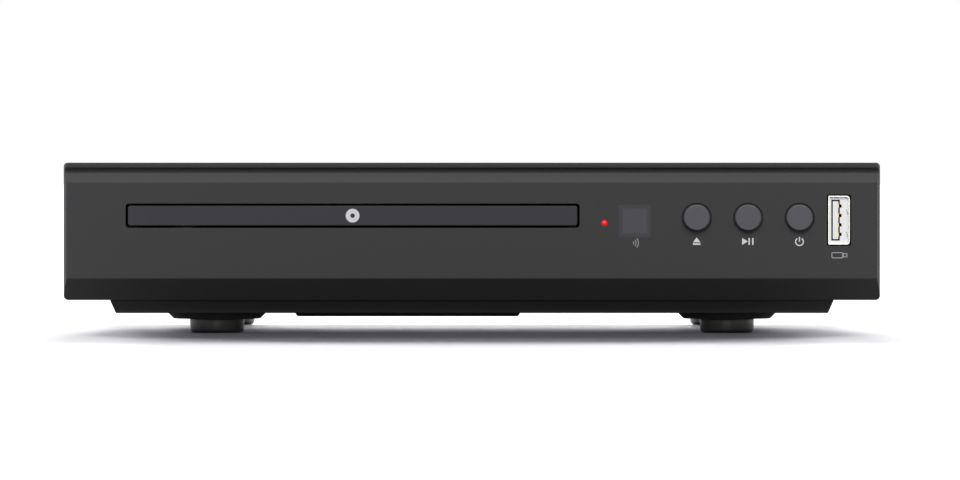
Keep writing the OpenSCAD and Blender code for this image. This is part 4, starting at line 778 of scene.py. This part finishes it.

# The groove widens into a notch beside each of the four contacts. The base is white at its face, and behind
# it a black core is painted shade that makes the groove look deep.
GROOVE = 0.42
CONTACT_Z = (-3.9, -1.3, 1.3, 3.9)
NOTCH_HALF, NOTCH_DEPTH = 0.45, 0.5
BASE_GAP = 0.04
groove_left, groove_right = tx0 - GROOVE, tx1 + GROOVE
groove = [(groove_left, tz0 - GROOVE), (groove_right, tz0 - GROOVE)]
for z in CONTACT_Z:
    groove += [(groove_right, cz + z - NOTCH_HALF), (groove_right + NOTCH_DEPTH, cz + z - NOTCH_HALF),
               (groove_right + NOTCH_DEPTH, cz + z + NOTCH_HALF), (groove_right, cz + z + NOTCH_HALF)]
groove += [(groove_right, tz1 + GROOVE), (groove_left, tz1 + GROOVE)]
inside = soft_outline(cx, cz, shell_w - 2 * WALL - BASE_GAP, shell_h - 2 * WALL - BASE_GAP, INNER_RADII)
base = bmesh.new()
plate(base, [inside, groove], socket_front + 0.45, socket_front + 0.7)
made_of(base, "socket_base", white_nylon)
# Painted shade: a black core behind the white base stands in for the shade deep in the groove.
groove_shade_backing = bmesh.new()
plate(groove_shade_backing, [inside, groove], socket_front + 0.72, socket_back - 0.6)
made_of(groove_shade_backing, "socket_groove_painted_shade", black_moulding)

# Spring leaves in a dull dark grey that stands out against the white base: painted shade, which stands in for
# the shade in the cuts round each leaf.
leaf_painted_shade = finish("spring_leaf_painted_shade", "#38393b", "#2f3032", (0.5, 0.62), 0.2, 0.01, patch=3)
# Each spring leaf leans inward in three steps, LEAF_STEP apart.
LEAF_THICK, LEAF_WIDTH = 0.14, 0.4
LEAF_STEP = (0.2, 0.06, 0.5)
leaves = bmesh.new()
for z in (-3.2, 3.0):
    for step in range(3):
        x = cx + shell_w / 2 - WALL - 0.25 - LEAF_STEP[0] * step
        leaf_z = cz + z - 1.4 + LEAF_STEP[2] * step
        bar(leaves, (x, socket_front + 0.3 + LEAF_STEP[1] * step, leaf_z),
            (x + LEAF_THICK, socket_front + 0.5, leaf_z + LEAF_WIDTH))
made_of(leaves, "socket_spring_leaves", leaf_painted_shade)
dress("data_contacts", gold_plate, 0.03)

# ---- Buttons ----
# Three round push buttons, each moulded in black ABS with a flange behind the fascia and a narrow
# chamfer round its face. The face and the chamfer are painted grey.

# Grey paint on black ABS: a satin grey that catches the lamps, down to CAP_DEPTH. Behind that, the skirt
# inside the hole is near black: the black ABS, darkened further as painted shade for the gap round the
# button.
CAP_DEPTH = 0.34
button_paint = finish("grey_paint_and_painted_gap_shade", "#4d4c51", "#504f54", (0.28, 0.36), 0.5, 0.003, patch=6,
                      Specular_IOR_Level=0.25)
tree = button_paint.node_tree
shader = tree.nodes["Principled BSDF"]
painted = shader.inputs["Base Color"].links[0].from_socket
depth = node(tree, "SeparateXYZ", None, {0: node(tree, "TexCoord").outputs["Object"]}).outputs["Y"]
# Painted shade: past CAP_DEPTH the button turns near black, which stands in for the shade in its gap.
gap_shade_skirt = node(tree, "Math", {"operation": "GREATER_THAN", 1: (corners("eject_button")[0][1] + CAP_DEPTH) * MM},
             {0: depth})
tone = node(tree, "Mix", {"data_type": "RGBA", 7: linear("#121213")}, {0: gap_shade_skirt.outputs[0], 6: painted})
tree.links.new(tone.outputs[2], shader.inputs["Base Color"])
for name in ("eject_button", "play_button", "power_button"):
    dress(name, button_paint, 0.08)

# ---- Fascia and tray door ----
# One hollow moulding with a flat face, a lit facet and a shadow groove under its top lip, and a
# slope that turns under to the pan. The door is of the same plastic and is fixed to the tray.

# Moulded ABS with a fine spark texture: charcoal and nearly matt.
fascia_abs = finish("moulded_charcoal_abs", "#3d3d3e", "#3f3f40", (0.56, 0.64), 0.5, 0.006,
                    Specular_IOR_Level=0.15)
dress("fascia", fascia_abs, 0)
# The same plastic from a mould of its own: the door comes out a touch cooler.
door_abs = finish("moulded_cool_charcoal_abs", "#3d3c41", "#3f3e43", (0.56, 0.64), 0.5, 0.006,
                  Specular_IOR_Level=0.15)
dress("tray_door", door_abs, 0.15)

# The remote control's window is smoked plastic, let into the face. It is thinner and so lighter in
# its middle, and the change from thick to thin lies between SOFT_FROM and SOFT_TO of the way out.
WINDOW_W, WINDOW_H = 8.9, 9.05
SOFT_FROM, SOFT_TO = 0.66, 0.84
low, high = corners("sensor_window")
face_y = corners("tray_door")[0][1]
wx, wz = (low[0] + high[0]) / 2 - 0.12, (low[2] + high[2]) / 2 - 0.1
smoked = finish("smoked_polycarbonate", "#403f43", "#403f43", (0.3, 0.36), 0.8, 0.002, patch=8,
                Specular_IOR_Level=0.15)
tree = smoked.node_tree
apart = node(tree, "SeparateXYZ", None, {0: node(tree, "TexCoord").outputs["Object"]})
ways_out = []
for side, middle, size in (("X", wx, WINDOW_W), ("Z", wz, WINDOW_H)):
    off = node(tree, "Math", {"operation": "SUBTRACT", 1: middle * MM}, {0: apart.outputs[side]})
    part = node(tree, "Math", {"operation": "ABSOLUTE"}, {0: off.outputs[0]})
    ways_out.append(node(tree, "Math", {"operation": "DIVIDE", 1: size / 2 * MM}, {0: part.outputs[0]}))
way_out = node(tree, "Math", {"operation": "MAXIMUM"}, {i: way.outputs[0] for i, way in enumerate(ways_out)})
thick = node(tree, "MapRange", {"interpolation_type": "SMOOTHSTEP", "From Min": SOFT_FROM,
                                "From Max": SOFT_TO}, {"Value": way_out.outputs[0]})
tone = node(tree, "Mix", {"data_type": "RGBA", 6: linear("#4c4b50"), 7: linear("#403f43")},
            {0: thick.outputs[0]})
tree.links.new(tone.outputs[2], tree.nodes["Principled BSDF"].inputs["Base Color"])
dress("sensor_window", smoked, 0.1)
# The window's hard outer film, and all ink, stand 0.03 mm proud of the mouldings' face.
SKIN = (face_y - 0.03, face_y + 0.02)
film = bmesh.new()
plate(film, [soft_outline(wx, wz, WINDOW_W, WINDOW_H, (0.5,) * 4)], *SKIN)
made_of(film, "sensor_film", smoked)


# ---- Printed marks ----
# Pale ink, printed through a pad onto the finished mouldings: the sign of a disc on the door, one
# sign under each button, arcs under the window and a plug-in drive under the socket.
def arc(cx, cz, radius, start, end, steps=28):
    """Points of an arc in X and Z, in degrees from +X towards +Z."""
    turns = [math.radians(start + (end - start) * i / steps) for i in range(steps + 1)]
    return [(cx + radius * math.cos(t), cz + radius * math.sin(t)) for t in turns]


def ring_part(cx, cz, inner, outer, start, end):
    """The outline of a part of a ring."""
    return arc(cx, cz, outer, start, end) + arc(cx, cz, inner, end, start)


def box_outline(x0, z0, x1, z1):
    """A rectangle in X and Z."""
    return [(x0, z0), (x1, z0), (x1, z1), (x0, z1)]


# Pad printed ink: a matt off-white film, and a greyer one for the two smallest signs.
pale_ink = finish("pad_printed_pale_ink", "#e2e2e5", "#dcdcdf", (0.6, 0.7), 0.3, 0.004, patch=2)
grey_ink = finish("pad_printed_grey_ink", "#a6a6aa", "#9e9ea2", (0.6, 0.7), 0.3, 0.004, patch=2)


def printed(name, parts, ink=pale_ink, body="case"):
    """One printed mark of several parts, each an outline with its holes."""
    shape = bmesh.new()
    for outlines in parts:
        plate(shape, outlines, *SKIN)
    made_of(shape, name, ink, body)


def middle_x(name):
    """The middle of a CAD node from left to right."""
    low, high = corners(name)
    return (low[0] + high[0]) / 2


# The signs under the buttons are all drawn about one line. Eject: an arrow that points up, over a bar.
MARK_Z = 25.5
ARROW_HALF, ARROW_RISE = 1.05, 1.1
x = middle_x("eject_button")
arrow = [(x - ARROW_HALF, MARK_Z - 0.25), (x + ARROW_HALF, MARK_Z - 0.25), (x, MARK_Z + ARROW_RISE)]
printed("eject_mark", [[arrow], [box_outline(x - ARROW_HALF, MARK_Z - 0.95, x + ARROW_HALF, MARK_Z - 0.5)]])
# Play and pause: an arrow that points right, and two upright bars.
SIGN_HALF, PAUSE_WIDTH = 0.95, 0.4
x = middle_x("play_button")
arrow = [(x - 1.65, MARK_Z - SIGN_HALF), (x - 0.05, MARK_Z), (x - 1.65, MARK_Z + SIGN_HALF)]
printed("play_mark", [[arrow]] + [[box_outline(x + left, MARK_Z - SIGN_HALF, x + left + PAUSE_WIDTH,
                                               MARK_Z + SIGN_HALF)] for left in (0.1, 1.1)])
# Power: a ring that is open at its top round an upright line.
RING_IN, RING_OUT = 0.9, 1.22
LINE_HALF = 0.17
x = middle_x("power_button")
printed("power_mark", [[ring_part(x, MARK_Z - 0.05, RING_IN, RING_OUT, 125, 415)],
                       [box_outline(x - LINE_HALF, MARK_Z - 0.1, x + LINE_HALF, MARK_Z + 1.25)]])
# The remote control: three arcs that spread from a point at the left.
ARC_WIDTH, ARC_HALF_ANGLE, ARC_Z = 0.22, 42, 25.1
arcs = [ring_part(wx - 0.9, ARC_Z, radius, radius + ARC_WIDTH, -ARC_HALF_ANGLE, ARC_HALF_ANGLE)
        for radius in (0.5, 1.15, 1.8)]
printed("remote_mark", [[outline] for outline in arcs], grey_ink)
# The disc on the door: a ring with a small hole.
DISC_RADIUS, HOLE_RADIUS = 1.9, 0.62
door_low, door_high = corners("tray_door")
dx, dz = (door_low[0] + door_high[0]) / 2, (door_low[2] + door_high[2]) / 2
printed("disc_mark", [[arc(dx, dz, DISC_RADIUS, 0, 354), arc(dx, dz, HOLE_RADIUS, 0, 354)]], body="tray")
# The plug-in drive: its outline, with its plug on the right.
STICK_Z = 21.7
STICK_LENGTH, STICK_HEIGHT, STICK_LINE = 3.2, 1.7, 0.25
stick = [soft_outline(cx - 0.5, STICK_Z, STICK_LENGTH, STICK_HEIGHT, (0.4,) * 4),
         soft_outline(cx - 0.5, STICK_Z, STICK_LENGTH - 2 * STICK_LINE, STICK_HEIGHT - 2 * STICK_LINE,
                      (0.2,) * 4)]
plug = [box_outline(cx + 1.1, STICK_Z - 0.55, cx + 2.3, STICK_Z + 0.55),
        box_outline(cx + 1.3, STICK_Z - 0.32, cx + 2.05, STICK_Z + 0.32)]
printed("stick_mark", [stick, plug], grey_ink)

# ---- Top cover and screws ----
# The cover is folded from the same coated sheet, with two rows of slots in each side. It slides
# over the fascia's tongue, and screws hold it at the sides and the rear.
dress("top_cover", powder_coat, 0.2)
dress("cover_screws", zinc_plate, 0.12)
dress("board_screws", zinc_plate, 0.1)
